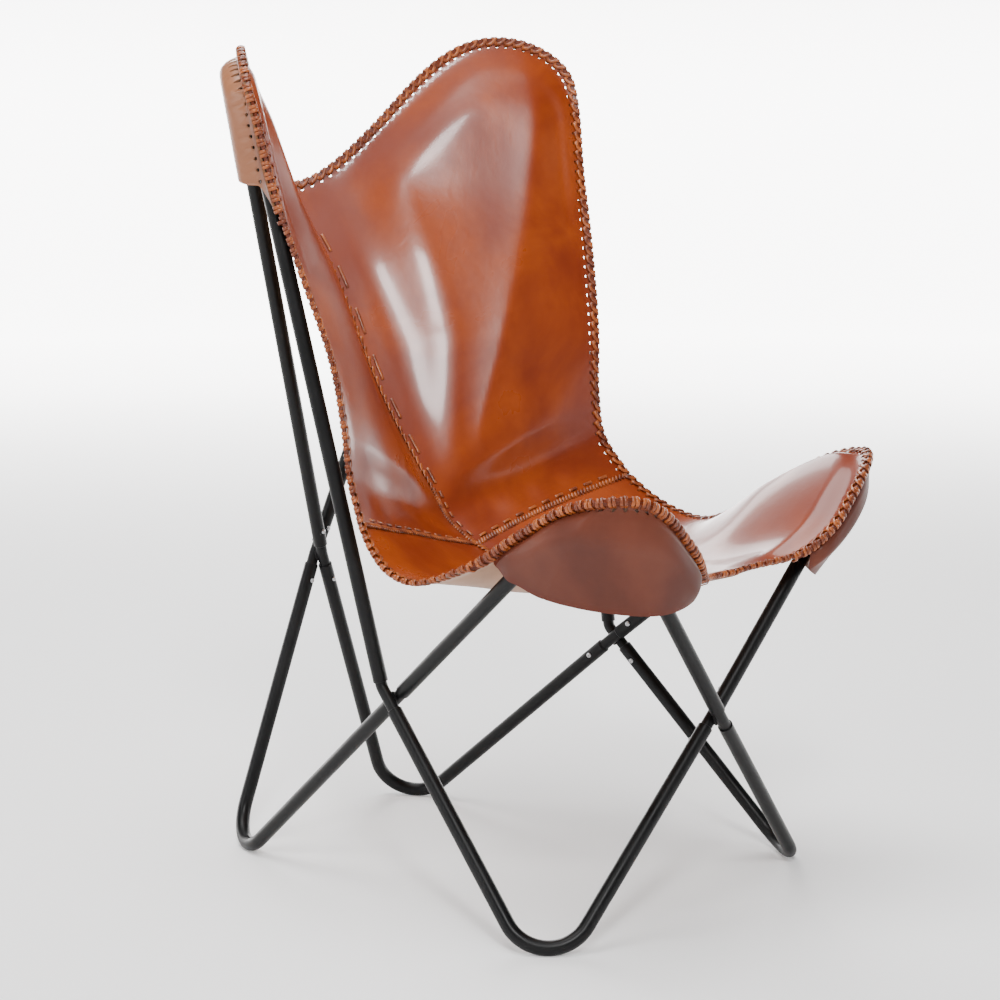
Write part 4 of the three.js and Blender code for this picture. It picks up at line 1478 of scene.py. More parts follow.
def leather_piece(name: str, cut: CutSheet, middle: Callable[[Array], Array], sign: int,
                  thickness: float, side: Side, inset: Callable[[Array], Array],
                  paints: tuple) -> tuple[Object, float, Array]:
    """A closed leather sheet over a surface.

    Args:
        name: the piece's name.
        cut: the flat cut.
        middle: the middle surface over flat coordinates, on the left half.
        sign: 1 or -1, which way the surface's normal faces.
        thickness: the leather's thickness.
        side: the half to make it for.
        inset: distance in from the laced outline, for the edges' darker shade.
        paints: the materials of the upper face and cut edges, and of the lower face.

    Returns:
        The piece, its area and its flat size.
    """
    flat, faces = cut.triangles()
    centre = middle(flat)
    normals = side_normals(flat, middle, sign)
    half = normals * thickness / 2
    top = mirrored(centre + half, side)
    bottom = mirrored(centre - half, side)
    count = len(flat)
    first = faces[0]
    turn = np.cross(top[first[1]] - top[first[0]], top[first[2]] - top[first[0]])
    outward = float(turn @ mirrored(normals[first[0]][None], side)[0]) > 0
    upper = faces if outward else [face[::-1] for face in faces]
    lower = [tuple(count + k for k in face[::-1]) for face in upper]
    rim = {}
    for face in upper:
        for a, b in zip(face, face[1:] + face[:1]):
            if (b, a) in rim:
                del rim[(b, a)]
            else:
                rim[(a, b)] = True
    walls = [(b, a, a + count, b + count) for a, b in rim]
    piece = make_object(name, np.concatenate([top, bottom]), [*upper, *lower, *walls])
    # Painted shade near the edges: a share that grows towards the outline, kept as the attribute
    # edge_share.
    shade = np.clip(1 - inset(flat) / EDGE_SHADE_WIDTH, 0, 1)
    held = piece.data.attributes.new("edge_share", "FLOAT", "POINT")
    held.data.foreach_set("value", np.concatenate([shade, shade]))
    for paint in paints:
        piece.data.materials.append(paint)
    slots = [0] * len(upper) + [1] * len(lower) + [0] * len(walls)
    piece.data.polygons.foreach_set("material_index", slots)
    tri = np.array(faces)
    area = np.linalg.norm(np.cross(centre[tri[:, 1]] - centre[tri[:, 0]],
                                   centre[tri[:, 2]] - centre[tri[:, 0]]), axis=1).sum() / 2
    return piece, float(area), np.ptp(flat, axis=0)


@dataclass
class LacedEdge:
    """The laced outline of one half, from the notch over the horn, down the side and round
    the wing to the front's middle."""

    back: Panel
    seat: Panel
    pitch: float = 11.6 * MM
    hole_inset: float = 9.8 * MM
    hole_radius: float = 2.2 * MM
    hole_sides: int = 12
    thong_width: float = 3.9 * MM
    thong_thickness: float = 1.3 * MM
    thong_stations: int = 22

    def __post_init__(self) -> None:
        """Measures the outline in space."""
        flats = [self.back.outline[::-1], self.seat.outline]
        runs = []
        for panel, flat in zip((self.back, self.seat), flats):
            w, t = panel.shares(flat)
            points = panel.base(w, t)
            runs.append((w, t, points, panel.base_normal(w, t)))
        points = np.concatenate([runs[0][2], runs[1][2][1:]])
        steps = np.linalg.norm(np.diff(points, axis=0), axis=1)
        self.length_at = np.concatenate([[0], np.cumsum(steps)])
        normals = np.concatenate([runs[0][3], runs[1][3][1:]])
        tangents = unit(np.gradient(points, axis=0))
        outward = unit(np.cross(tangents, normals))
        if dot(outward, points - points.mean(axis=0)).sum() < 0:
            outward = -outward
        self.tangents, self.outward = tangents, outward
        self.split = len(runs[0][0]) - 1
        self.junction = self.length_at[self.split]
        self.runs = runs
        total = self.length_at[-1]
        self.count = int(round(total / self.pitch))
        self.step = total / self.count
        self.places = (np.arange(self.count) + 0.5) * self.step

    def shares_at(self, s: Array) -> tuple[Array, Array, Array]:
        """Which panel, and its shares, at lengths along the outline.

        Args:
            s: lengths along the outline.

        Returns:
            Which lie on the seat, and the shares.
        """
        on_seat = s > self.junction
        first, second = self.length_at[:self.split + 1], self.length_at[self.split:]
        w = np.where(on_seat, np.interp(s, second, self.runs[1][0]),
                     np.interp(s, first, self.runs[0][0]))
        t = np.where(on_seat, np.interp(s, second, self.runs[1][1]),
                     np.interp(s, first, self.runs[0][1]))
        return on_seat, w, t

    def along(self, s: Array, field_values: Array) -> Array:
        """A vector kept along the outline, at lengths along it."""
        return np.stack([np.interp(s, self.length_at, field_values[:, k]) for k in range(3)],
                        axis=-1)

    def on_leather(self, s: Array, inset: Array) -> tuple[Array, Array, Array]:
        """Shares on the leather at an inset from the outline.

        Args:
            s: lengths along the outline.
            inset: how far in, or out where negative.

        Returns:
            Which lie on the seat, and their shares across and along.
        """
        s = np.clip(s, 0, self.length_at[-1])
        on_seat, w, t = self.shares_at(s)
        shift = -(inset * np.ones(len(s)))[:, None] * unit(self.along(s, self.outward))
        new_w, new_t = np.zeros(len(s)), np.zeros(len(s))
        for panel, chosen in ((self.back, ~on_seat), (self.seat, on_seat)):
            if chosen.any():
                new_w[chosen], new_t[chosen] = panel.moved(w[chosen], t[chosen], shift[chosen])
        return on_seat, new_w, new_t

    def surface(self, s: Array, inset: Array, lift: Array) -> tuple[Array, Array]:
        """Places off the finished leather near its outline, and its normals there.

        Args:
            s: lengths along the outline.
            inset: how far in from it.
            lift: how far off the middle surface, towards the sitter.

        Returns:
            The places and the normals.
        """
        on_seat, w, t = self.on_leather(s, inset)
        places, normals = np.zeros((len(s), 3)), np.zeros((len(s), 3))
        for panel, chosen in ((self.back, ~on_seat), (self.seat, on_seat)):
            if not chosen.any():
                continue
            flat = paired(w[chosen] * panel.scale[0], t[chosen] * panel.scale[1])
            normals[chosen] = side_normals(flat, panel.middle, panel.sign)
            places[chosen] = panel.middle(flat)
        return places + normals * (lift * np.ones(len(s)))[:, None], normals

    def hole_rings(self, panel: Panel, on_seat: bool) -> list:
        """The punched holes of one panel, as rings of flat points.

        Args:
            panel: the panel.
            on_seat: whether it is the seat.

        Returns:
            The rings.
        """
        seats, w, t = self.on_leather(self.places, self.hole_inset)
        chosen = seats == on_seat
        rings_found = []
        angles = np.linspace(0, 2 * math.pi, self.hole_sides, endpoint=False)
        tangent = unit(self.along(self.places, self.tangents))[chosen]
        outward = unit(self.along(self.places, self.outward))[chosen]
        for k, (a, b) in enumerate(zip(w[chosen], t[chosen])):
            if min(a * panel.scale[0], b * panel.scale[1]) < 2 * self.hole_radius + MM:
                continue
            shift = self.hole_radius * (np.cos(angles)[:, None] * tangent[k]
                                        + np.sin(angles)[:, None] * outward[k])
            ring_w, ring_t = panel.moved(np.full(self.hole_sides, a),
                                         np.full(self.hole_sides, b), shift)
            rings_found.append(paired(ring_w * panel.scale[0], ring_t * panel.scale[1]))
        return rings_found


# The sling's pieces


@dataclass
class HornPocket:
    """The pocket behind one horn, on the back panel's own shares."""

    back: Panel
    inner_share: float = 0.34
    side_share: float = 0.67
    top_share: float = 0.82
    curve_share: float = 0.3

    def mouth(self, w: Array) -> Array:
        """The mouth's share along, over the width."""
        inward = np.clip((1 - w) / (1 - self.inner_share), 0, 1)
        return self.side_share + (self.top_share - self.side_share) * inward ** self.curve_share

    def middle(self, flat: Array) -> Array:
        """The pocket's middle surface over the back's flat coordinates.

        Args:
            flat: flat coordinates.

        Returns:
            The places.
        """
        shape, back = self.back.shape, self.back
        w, t = back.shares(flat)
        mouth, top = self.mouth(w), back.end(np.minimum(w, 1.0))
        j = np.clip((t - mouth) / np.maximum(top - mouth, 0.02), 0, 1)
        inset = back.inset(flat)
        roll = quarter_round((inset - shape.lace_band) / shape.edge_roll)
        behind = (shape.thickness / 2 + shape.layer_gap + shape.pocket_thickness / 2
                  + back.dip(inset)
                  + (shape.horn_pocket_depth + shape.horn_pocket_flare * (1 - j)) * roll)
        points, normals = back.base(w, t), back.base_normal(w, t)
        behind = soft_max(behind, back.guard.crest(points, normals, -1), 3 * MM)
        return points - normals * behind[:, None]

    def ring(self, spacing: float) -> Array:
        """The pocket's outline: the horn's laced outline and the mouth.

        Args:
            spacing: between its points.

        Returns:
            The ring.
        """
        back = self.back
        w, t = back.shares(back.outline)
        kept = back.outline[(t > self.side_share) & ((w > self.inner_share) | (t < 0.5))]
        count = int(0.4 / spacing)
        across = np.linspace(self.inner_share, 1.005, count)
        mouth = paired(across * back.scale[0], self.mouth(across) * back.scale[1])
        return np.concatenate([kept, mouth[:-1]])


@dataclass
class WingPocket:
    """The pocket under one wing, on lengths along the laced edge and depths from it."""

    edge: LacedEdge
    wing: Array
    mouth_side_share: float = 0.57
    mouth_front_share: float = 0.36
    side_part_share: float = 0.3
    end_share: float = 0.14
    top_share: float = 0.9
    bulge_run: float = 44 * MM
    side_depth: float = 8 * MM
    front_depth: float = 12 * MM
    mouth_shares: tuple = (
        (1.05, 0.67, 0.42), (0.985, 0.757, 0.289), (0.84, 0.908, 0.17), (0.664, 1.06, 0.12),
        (0.575, 1.11, 0.15), (0.487, 1.13, 0.22))

    def __post_init__(self) -> None:
        """Finds the pocket's two ends on the laced edge, and its mouth."""
        shape = self.edge.back.shape
        self.drop = shape.thickness / 2 + shape.layer_gap + shape.pocket_thickness / 2
        w, t = self.edge.runs[1][0], self.edge.runs[1][1]
        lengths = self.edge.length_at[self.edge.split:]
        self.start = float(np.interp(self.mouth_side_share, t[:60], lengths[:60]))
        front = np.argmax((t > self.top_share) & (w < self.mouth_front_share))
        self.finish = float(lengths[front])
        ends = self.edge.surface(np.array([self.start, self.finish]), 0.0, -self.drop)[0]
        rise = self.wing[2] - shape.seat_height
        self.mouth = Spline([ends[0]] + [
            np.array([x * self.wing[0], y * self.wing[1], shape.seat_height + z * rise])
            for x, y, z in self.mouth_shares] + [ends[1]])

    def share(self, s: Array) -> Array:
        """The share of the way along the mouth, at lengths along the laced edge.

        Args:
            s: lengths along the outline.

        Returns:
            The shares.
        """
        _, w, t = self.edge.shares_at(s)
        side = (self.side_part_share * (t - self.mouth_side_share)
                / (self.top_share - self.mouth_side_share))
        turn = np.arccos(np.clip((w - self.mouth_front_share)
                                 / (1 - self.mouth_front_share), -1, 1))
        front = self.side_part_share + (1 - self.side_part_share) * turn / (math.pi / 2)
        return np.clip(np.where((t < self.top_share) & (w > 0.98), side, front), 0, 1)

    def rim(self, s: Array) -> tuple[Array, Array, Array]:
        """The laced edge's places, the mouth's places and the shares, at lengths along.

        Args:
            s: lengths along the outline.

        Returns:
            The two rows of places and the shares.
        """
        share = self.share(s)
        edge = self.edge.surface(s, 0.0, -self.drop)[0]
        least = self.side_depth + (self.front_depth - self.side_depth) * share
        band = self.edge.surface(s, least, -self.drop)[0]
        near_end = 1 - smooth(np.minimum(share, 1 - share) / self.end_share)
        mouth = self.mouth.at(share)
        return edge, mouth + (band - mouth) * near_end[:, None], share

    def depth(self, s: Array) -> Array:
        """How deep the pocket is at lengths along."""
        edge, mouth, _ = self.rim(s)
        return np.linalg.norm(mouth - edge, axis=1)

    def middle(self, flat: Array) -> Array:
        """The pocket's middle surface over lengths along and depths.

        Args:
            flat: flat coordinates.

        Returns:
            The places.
        """
        shape = self.edge.back.shape
        s, d = flat[:, 0] + self.start, flat[:, 1]
        edge, mouth, share = self.rim(s)
        length = np.linalg.norm(mouth - edge, axis=1)
        j = d / length
        side_aim = np.array([1.0, 0, 0])
        front_aim = unit(np.array([0.3, -0.75, -0.6]))
        out = unit(side_aim + (front_aim - side_aim) * smooth(share)[:, None])
        ends = quarter_round(np.minimum(share, 1 - share) / 0.15)
        bulge = (shape.wing_pocket_depth * ends * np.clip(1 - j, 0, 1) * 1.25
                 * smooth((d - 3 * MM) / self.bulge_run))
        hung = edge + (mouth - edge) * j[:, None] + out * bulge[:, None]
        push = self.edge.seat.guard.crest(hung, out, 1) * smooth(d / (14 * MM))
        hung = hung + out * soft_max(np.zeros(len(push)), push, 2 * MM)[:, None]
        band = self.edge.surface(s, d, -self.drop)[0]
        share_hung = smooth((d - 4 * MM) / (12 * MM))[:, None]
        return band + (hung - band) * share_hung

    def ring(self, spacing: float) -> Array:
        """The pocket's flat outline.

        Args:
            spacing: between its points.

        Returns:
            The ring.
        """
        reach = self.finish - self.start
        count = int(reach / spacing)
        top = np.linspace(0, reach, count)
        depth = self.depth(top + self.start)
        sides = np.arange(spacing, depth[-1] - spacing / 2, spacing)
        near = np.arange(spacing, depth[0] - spacing / 2, spacing)
        return np.concatenate([
            paired(top, np.zeros(count)),
            paired(np.full(len(sides), reach), sides),
            paired(top, depth)[::-1],
            paired(np.zeros(len(near)), near)[::-1]])

    def hole_rings(self) -> list:
        """The holes that the lace passes through.

        Returns:
            The holes as rings of flat points.
        """
        edge = self.edge
        angles = np.linspace(0, 2 * math.pi, edge.hole_sides, endpoint=False)
        found = []
        for s in edge.places:
            if self.start + 5 * MM < s < self.finish - 5 * MM:
                found.append(paired(
                 s - self.start + edge.hole_radius * np.cos(angles),
                 edge.hole_inset + edge.hole_radius * np.sin(angles)))
        return found


@dataclass
class SeamLine:
    """A seam between two panels, whose sides are reached by lengths off it."""

    place: Callable[[Array, Array], Array]
    length: float
    row_pitch: float = 6 * MM
    columns: int = 9

    def frame(self, s: Array, off: Array, lift: Array) -> tuple[Array, Array]:
        """Places off the leather beside the seam, and normals there.

        Args:
            s: lengths along the seam.
            off: how far to the side of the seam.
            lift: how far off the middle surface, towards the sitter.

        Returns:
            The places and the normals.
        """
        step, wide = 1.5 * MM, 6 * MM
        along = self.place(s + step, off) - self.place(s - step, off)
        across = self.place(s, off + wide) - self.place(s, off - wide)
        normals = unit(np.cross(across, along))
        normals = normals * np.where(normals[:, 2:] - normals[:, 1:2] < 0, -1, 1)
        return self.place(s, off) + normals * (lift * np.ones(len(s)))[:, None], normals

    def band(self, name: str, width: float, thickness: float, lift: float, side: Side,
             paint: Material, start: float, finish: float) -> Object:
        """A flat strip that follows the seam.

        Args:
            name: the piece's name.
            width: the strip's width.
            thickness: its thickness.
            lift: how far off the middle surface.
            side: the half.
            paint: the material.
            start: where along the seam it starts.
            finish: where it ends.

        Returns:
            The piece.
        """
        rows = int((finish - start) / self.row_pitch) + 1
        columns = self.columns
        s, off = np.meshgrid(np.linspace(start, finish, rows),
                             np.linspace(-width / 2, width / 2, columns), indexing="ij")
        faces = grid_faces(rows, columns, False, False)
        layers = []
        for rise in (lift + thickness / 2, lift - thickness / 2):
            layers.append(self.frame(s.ravel(), off.ravel(), rise)[0])
        count = rows * columns
        lower = [tuple(count + k for k in face[::-1]) for face in faces]
        rim = list(range(columns))
        rim += [columns * i + columns - 1 for i in range(1, rows)]
        rim += [count - 1 - k for k in range(1, columns)]
        rim += [columns * i for i in range(rows - 2, 0, -1)]
        walls = [(rim[(k + 1) % len(rim)], rim[k], rim[k] + count,
                  rim[(k + 1) % len(rim)] + count) for k in range(len(rim))]
        piece = make_object(name, mirrored(np.concatenate(layers), side), faces + lower + walls)
        merge_close(piece.data)
        piece.data.materials.append(paint)
        return piece


def lace_routes(edge: LacedEdge, wing: WingPocket, horn: HornPocket,
                side: Side) -> tuple[Array, Array]:
    """Every loop of one half's edge lace.

    Args:
        edge: the laced edge.
        wing: the wing's pocket, which the loops go round.
        horn: the horn's pocket, likewise.
        side: the half.

    Returns:
        Routes and face normals, stations by loops by 3.
    """
    shape, half_thong = edge.back.shape, edge.thong_thickness / 2
    top = shape.thickness / 2 + half_thong + 0.1 * MM
    hole, pitch = edge.hole_inset, edge.step
    on_seat, w, t = edge.shares_at(edge.places)
    pocketed = np.where(on_seat, (edge.places > wing.start) & (edge.places < wing.finish),
                        (t > horn.side_share) & (w > horn.inner_share))
    under = -(top + np.where(pocketed, shape.pocket_thickness + shape.layer_gap, 0))
    lip = 1.1 * MM + half_thong
    over = [
        (0.0, hole - 0.6 * MM, "dive", -1, 0.2), (0.03, hole - 2.4 * MM, "over", 0, 1.0),
        (0.4, hole * 0.6, "over", 0, 1.0), (0.75, hole * 0.24, "over", 0, 1.0),
        (0.88, 0.4 * MM, "over", 0.5, 0.8), (0.92, -lip, "middle", 1, 0.0),
        (0.94, 0.4 * MM, "under", 0.5, -0.8), (0.97, hole * 0.4, "under", 0, -1.0),
        (1.0, hole - 2.0 * MM, "under", 0, -1.0), (1.0, hole - 0.5 * MM, "deep", -1, -0.3)]
    cross = [
        (0.0, hole - 1.2 * MM, "dive", -1, 0.2), (-0.05, hole - 3.0 * MM, "low", 0, 1.0),
        (-0.2, hole * 0.42, "low", 0, 1.0), (-0.36, hole * 0.15, "low", 0.2, 1.0),
        (-0.42, -0.2 * MM, "low", 0.6, 0.7), (-0.44, -lip + 0.3 * MM, "middle", 1, 0.0),
        (-0.45, 0.4 * MM, "under", 0.5, -0.8), (-0.42, hole * 0.4, "under", 0, -1.0),
        (-0.3, hole - 2.6 * MM, "under", 0, -1.0), (-0.2, hole - 1.4 * MM, "deep", -0.6, -0.6)]
    lifts = {"over": top + 0.9 * MM, "low": top, "middle": under / 2 + top / 2, "under": under,
             "dive": top - 1.9 * MM, "deep": under + 1.8 * MM}
    routes, normals = [], []
    for plan in (over, cross):
        points, faces = [], []
        for ahead, inset, layer, outward_share, normal_share in plan:
            s = edge.places + ahead * pitch
            place, normal = edge.surface(s, inset, lifts[layer])
            outward = unit(edge.along(np.clip(s, 0, edge.length_at[-1]), edge.outward))
            points.append(place)
            faces.append(unit(normal_share * normal + outward_share * outward))
        shares = np.linspace(0, 1, edge.thong_stations)
        routes.append(Spline(points).at(shares))
        normals.append(Spline(faces).at(shares))
    route = np.concatenate(routes, axis=1)
    normal = unit(np.concatenate(normals, axis=1))
    return mirrored(route, side), mirrored(normal, side)


@dataclass
class HalfSling:
    """One half of the sling: its back and seat, its two pockets and its lace."""

    shape: SlingShape
    side: Side
    steel: SteelFrame
    spacing: float = 5.2 * MM
    horn_roll: float = 27 * MM
    wing_roll: float = 22 * MM
    hole_margin: float = 1.5 * MM
    tube_gap: float = 0.6 * MM

    def __post_init__(self) -> None:
        """Works out the half's panels, laced edge and pockets."""
        shape = self.shape
        steps = np.linspace(0, 1, 200)

        def scale(sheet: Surface) -> tuple:
            """A sheet's lengths across and along."""
            across, along = sheet(steps, 0.6 + 0 * steps), sheet(0.75 + 0 * steps, steps)
            return tuple(float(np.linalg.norm(np.diff(run, axis=0), axis=1).sum())
                         for run in (across, along))

        self.back = Panel("back", shape, shape.back_sheet, shape.horn_top, 1, 0.8, 0.9,
                          scale(shape.back_sheet), self.horn_roll, self.side,
                          self.guard("horn"))
        self.seat = Panel("seat", shape, shape.seat_sheet, shape.wing_front, -1, 0.7, 0.9,
                          scale(shape.seat_sheet), self.wing_roll, self.side,
                          self.guard("wing"))
        self.edge = LacedEdge(self.back, self.seat)
        self.horn_pocket = HornPocket(self.back)
        self.wing_pocket = WingPocket(self.edge, shape.wing)

    def guard(self, part: str) -> TubeGuard:
        """What keeps the leather off this half's horn or wing tube."""
        places = self.steel.centreline(f"{self.side.word}_{part}_tube", self.side)
        return TubeGuard(places, (self.steel.tube_diameter + self.shape.thickness) / 2
                         + self.tube_gap)

    def declare(self, piece: Object, node: str, slot: str) -> None:
        """Sets a sheet on the chair in place of its CAD node.

        Args:
            piece: the sheet.
            node: the node it stands for.
            slot: passed on to finish_piece.
        """
        finish_piece(piece, slot, node)

    def make_panel(self, panel: Panel, paints: tuple) -> None:
        """One large panel, cut and punched.

        Args:
            panel: the back or the seat.
            paints: upper and lower materials.
        """
        gap = self.shape.seam_gap / 2
        outline = panel.outline.copy()
        outline[0, 1], outline[-1, 0] = gap, gap
        seam_v = np.arange(outline[-1, 1] - self.spacing, gap + self.spacing / 2, -self.spacing)
        cross_u = np.arange(gap + self.spacing, outline[0, 0] - self.spacing / 2, self.spacing)
        ring = np.concatenate([
            outline, paired(np.full(len(seam_v), gap), seam_v),
            [[gap, gap]], paired(cross_u, np.full(len(cross_u), gap))])
        cut = CutSheet(ring, self.edge.hole_rings(panel, panel is self.seat), self.spacing)
        node = f"{panel.name}_panel_{self.side.word}"
        piece, area, size = leather_piece(node + "_finished", cut, panel.middle, panel.sign,
                                          self.shape.thickness, self.side, panel.inset, paints)
        self.declare(piece, node, "tan_leather")

    def make_horn_pocket(self, paints: tuple) -> None:
        """The pocket that the horn's tube stands in.

        Args:
            paints: upper and lower materials.
        """
        ring = self.horn_pocket.ring(self.spacing)
        whole = self.edge.hole_rings(self.back, False)
        inside = [hole for hole in whole if inside_ring(hole, ring).all()
                  and CutSheet.clear(hole, ring, self.hole_margin).all()]
        cut = CutSheet(ring, inside, self.spacing)
        node = f"horn_pocket_{self.side.word}"
        piece, area, size = leather_piece(node + "_finished", cut, self.horn_pocket.middle, 1,
                                          self.shape.pocket_thickness, self.side,
                                          self.back.inset, paints)
        self.declare(piece, node, "tan_leather")

    def make_wing_pocket(self, paints: tuple) -> None:
        """The pocket that the wing's tube stands in.

        Args:
            paints: upper and lower materials.
        """
        pocket = self.wing_pocket
        ring = pocket.ring(self.spacing)
        cut = CutSheet(ring, [hole for hole in pocket.hole_rings()
                              if CutSheet.clear(hole, ring, self.hole_margin).all()],
                       self.spacing)
        node = f"wing_pocket_{self.side.word}"
        piece, area, size = leather_piece(
            node + "_finished", cut, pocket.middle, 1, self.shape.pocket_thickness, self.side,
            lambda flat: np.minimum(flat[:, 1], pocket.depth(flat[:, 0] + pocket.start)
                                    - flat[:, 1]), paints)
        self.declare(piece, node, "brown_leather")

    def make_lace(self, thongs: ThongTree, paint: Material, nodes: tuple) -> None:
        """The thong all along the laced edge.

        Args:
            thongs: the tree that sweeps it.
            paint: its material.
            nodes: the nodes that it stands for.
        """
        routes, normals = lace_routes(self.edge, self.wing_pocket, self.horn_pocket, self.side)
        piece = thongs.lay(f"edge_lace_{self.side.word}", routes, normals,
                           self.edge.thong_width, self.edge.thong_thickness, paint)
        finish_piece(piece, "lace_leather", *nodes)


@dataclass
class SeamWork:
    """The braided seams, the straps under them and the running stitches beside them."""

    left: HalfSling
    right: HalfSling
    thongs: ThongTree
    lace: Material
    raw: Material
    stations: int = 11
    stitch_start: float = 4 * MM
    stitch_pitch: float = 6.0 * MM
    stitch_reach: float = 4.6 * MM
    stitch_size: tuple = (3.9 * MM, 1.5 * MM)
    dash_start: float = 20 * MM
    dash_pitch: float = 28 * MM
    dash_length: float = 16 * MM
    dash_off: float = 11 * MM
    dash_size: tuple = (3.6 * MM, 1.3 * MM)
    strap_width: float = 30 * MM
    strap_thickness: float = 2.2 * MM
    strap_gap: float = 0.5 * MM
    strap_end: float = 8 * MM

    def centre_seam(self, panel: str) -> SeamLine:
        """The seam between the two halves of the back or the seat.

        Args:
            panel: back or seat.

        Returns:
            The seam.
        """
        halves = [getattr(half, panel) for half in (self.left, self.right)]

        def place(s: Array, off: Array) -> Array:
            """Places at lengths along the seam and off it.

            Args:
                s: lengths along.
                off: lengths off.

            Returns:
                The places.
            """
            flat = paired(np.abs(off), s)
            on_left = halves[0].middle(flat)
            on_right = mirrored(halves[1].middle(flat), Side.RIGHT)
            return np.where((off >= 0)[:, None], on_left, on_right)

        return SeamLine(place, float(halves[0].outline[-1, 1]))

    def cross_seam(self, half: HalfSling) -> SeamLine:
        """The seam between the back and the seat of one half, on the left half's side.

        Args:
            half: the half.

        Returns:
            The seam.
        """

        def place(s: Array, off: Array) -> Array:
            """Places at lengths along the seam and off it.

            Args:
                s: lengths along.
                off: lengths off.

            Returns:
                The places.
            """
            above = half.back.middle(paired(s, np.abs(off)))
            share = s * half.seat.scale[0] / half.back.scale[0]
            below = half.seat.middle(paired(share, np.abs(off)))
            return np.where((off >= 0)[:, None], above, below)

        return SeamLine(place, float(half.back.outline[0, 0]))

    def sew(self, name: str, line: SeamLine, side: Side, plan: Sequence, starts: Array,
            size: tuple, *nodes: str) -> None:
        """Like stitches, one after the other, beside or across a seam.

        Args:
            name: the piece's name.
            line: the seam.
            side: the half.
            plan: each station's length off, length along and rise in mm.
            starts: where along the seam the stitches start.
            size: width and thickness.
            *nodes: the nodes that the piece stands for.
        """
        top = self.left.shape.thickness / 2 + size[1] / 2
        routes, normals = [], []
        for off, along, rise in plan:
            place, normal = line.frame(starts + along, np.full(len(starts), off),
                                       top + rise * MM)
            routes.append(place)
            normals.append(normal)
        shares = np.linspace(0, 1, self.stations)
        piece = self.thongs.lay(name, mirrored(Spline(routes).at(shares), side),
                                mirrored(unit(Spline(normals).at(shares)), side), *size,
                                self.lace)
        finish_piece(piece, "lace_leather", *nodes)

    def braid(self, name: str, line: SeamLine, node: str, side: Side) -> None:
        """The slanted stitches of one seam.

        Args:
            name: the piece's name.
            line: the seam.
            node: its node.
            side: the half.
        """
        count = int((line.length - 2 * self.stitch_start) / self.stitch_pitch)
        plan = ((-1.05, -0.6, -1.8), (-0.95, -0.5, 0.1), (-0.6, -0.3, 1.0), (0.0, 0.0, 1.5),
                (0.6, 0.3, 1.0), (0.95, 0.5, 0.1), (1.05, 0.6, -1.8))
        self.sew(name, line, side, [(off * self.stitch_reach, along * self.stitch_pitch, rise)
                                    for off, along, rise in plan],
                 self.stitch_start + self.stitch_pitch * np.arange(count), self.stitch_size,
                 node)

    def dashes(self, name: str, line: SeamLine, side: Side) -> None:
        """A running stitch beside a seam.

        Args:
            name: the piece's name.
            line: the seam.
            side: the half.
        """
        count = int((line.length - 2 * self.dash_start) / self.dash_pitch)
        plan = ((0.0, -2.0), (0.02, -0.3), (0.15, 0.3), (0.5, 0.4), (0.85, 0.3), (0.98, -0.3),
                (1.0, -2.0))
        self.sew(name, line, side, [(self.dash_off, along * self.dash_length, rise)
                                    for along, rise in plan],
                 self.dash_start + self.dash_pitch * np.arange(count), self.dash_size)

    def strap(self, node: str, line: SeamLine, side: Side, start: float) -> None:
        """The strap that backs one seam.

        Args:
            node: its node.
            line: the seam.
            side: the half.
            start: where along the seam it starts.
        """
        lift = -(self.left.shape.thickness / 2 + self.strap_gap + self.strap_thickness / 2)
        piece = line.band(node + "_finished", self.strap_width, self.strap_thickness, lift,
                          side, self.raw, start, line.length - self.strap_end)
        finish_piece(piece, "raw_leather", node)

    def build(self) -> None:
        """Makes every seam."""
        low = self.strap_width / 2 + MM
        for panel in ("back", "seat"):
            line = self.centre_seam(panel)
            self.braid(f"centre_{panel}_braid", line, f"centre_{panel}_seam_lace", Side.LEFT)
            self.strap(f"centre_{panel}_seam_strap", line, Side.LEFT, low)
        self.dashes("centre_back_dashes", self.centre_seam("back"), Side.LEFT)
        for half in (self.left, self.right):
            line, side, word = self.cross_seam(half), half.side, half.side.word
            self.braid(f"cross_braid_{word}", line, f"cross_seam_lace_{word}", side)
            self.strap(f"cross_seam_strap_{word}", line, side, MM)
            self.dashes(f"cross_dashes_{word}", line, side)


# The studio


@dataclass(frozen=True)
class SoftBox:
    """A soft light: where it stands, where it looks, its size and its power."""

    name: str
    place: tuple
    target: tuple
    size: tuple
    power: float

    def build(self) -> None:
        """Adds the light to the scene."""
        data = bpy.data.lights.new(self.name, "AREA")
        data.shape = "RECTANGLE"
        data.size, data.size_y = self.size
        data.energy = self.power
        light = bpy.data.objects.new(self.name, data)
        light.location = self.place
        ahead = Vector(self.target) - Vector(self.place)
        light.rotation_euler = ahead.to_track_quat("-Z", "Y").to_euler()
        bpy.context.collection.objects.link(light)


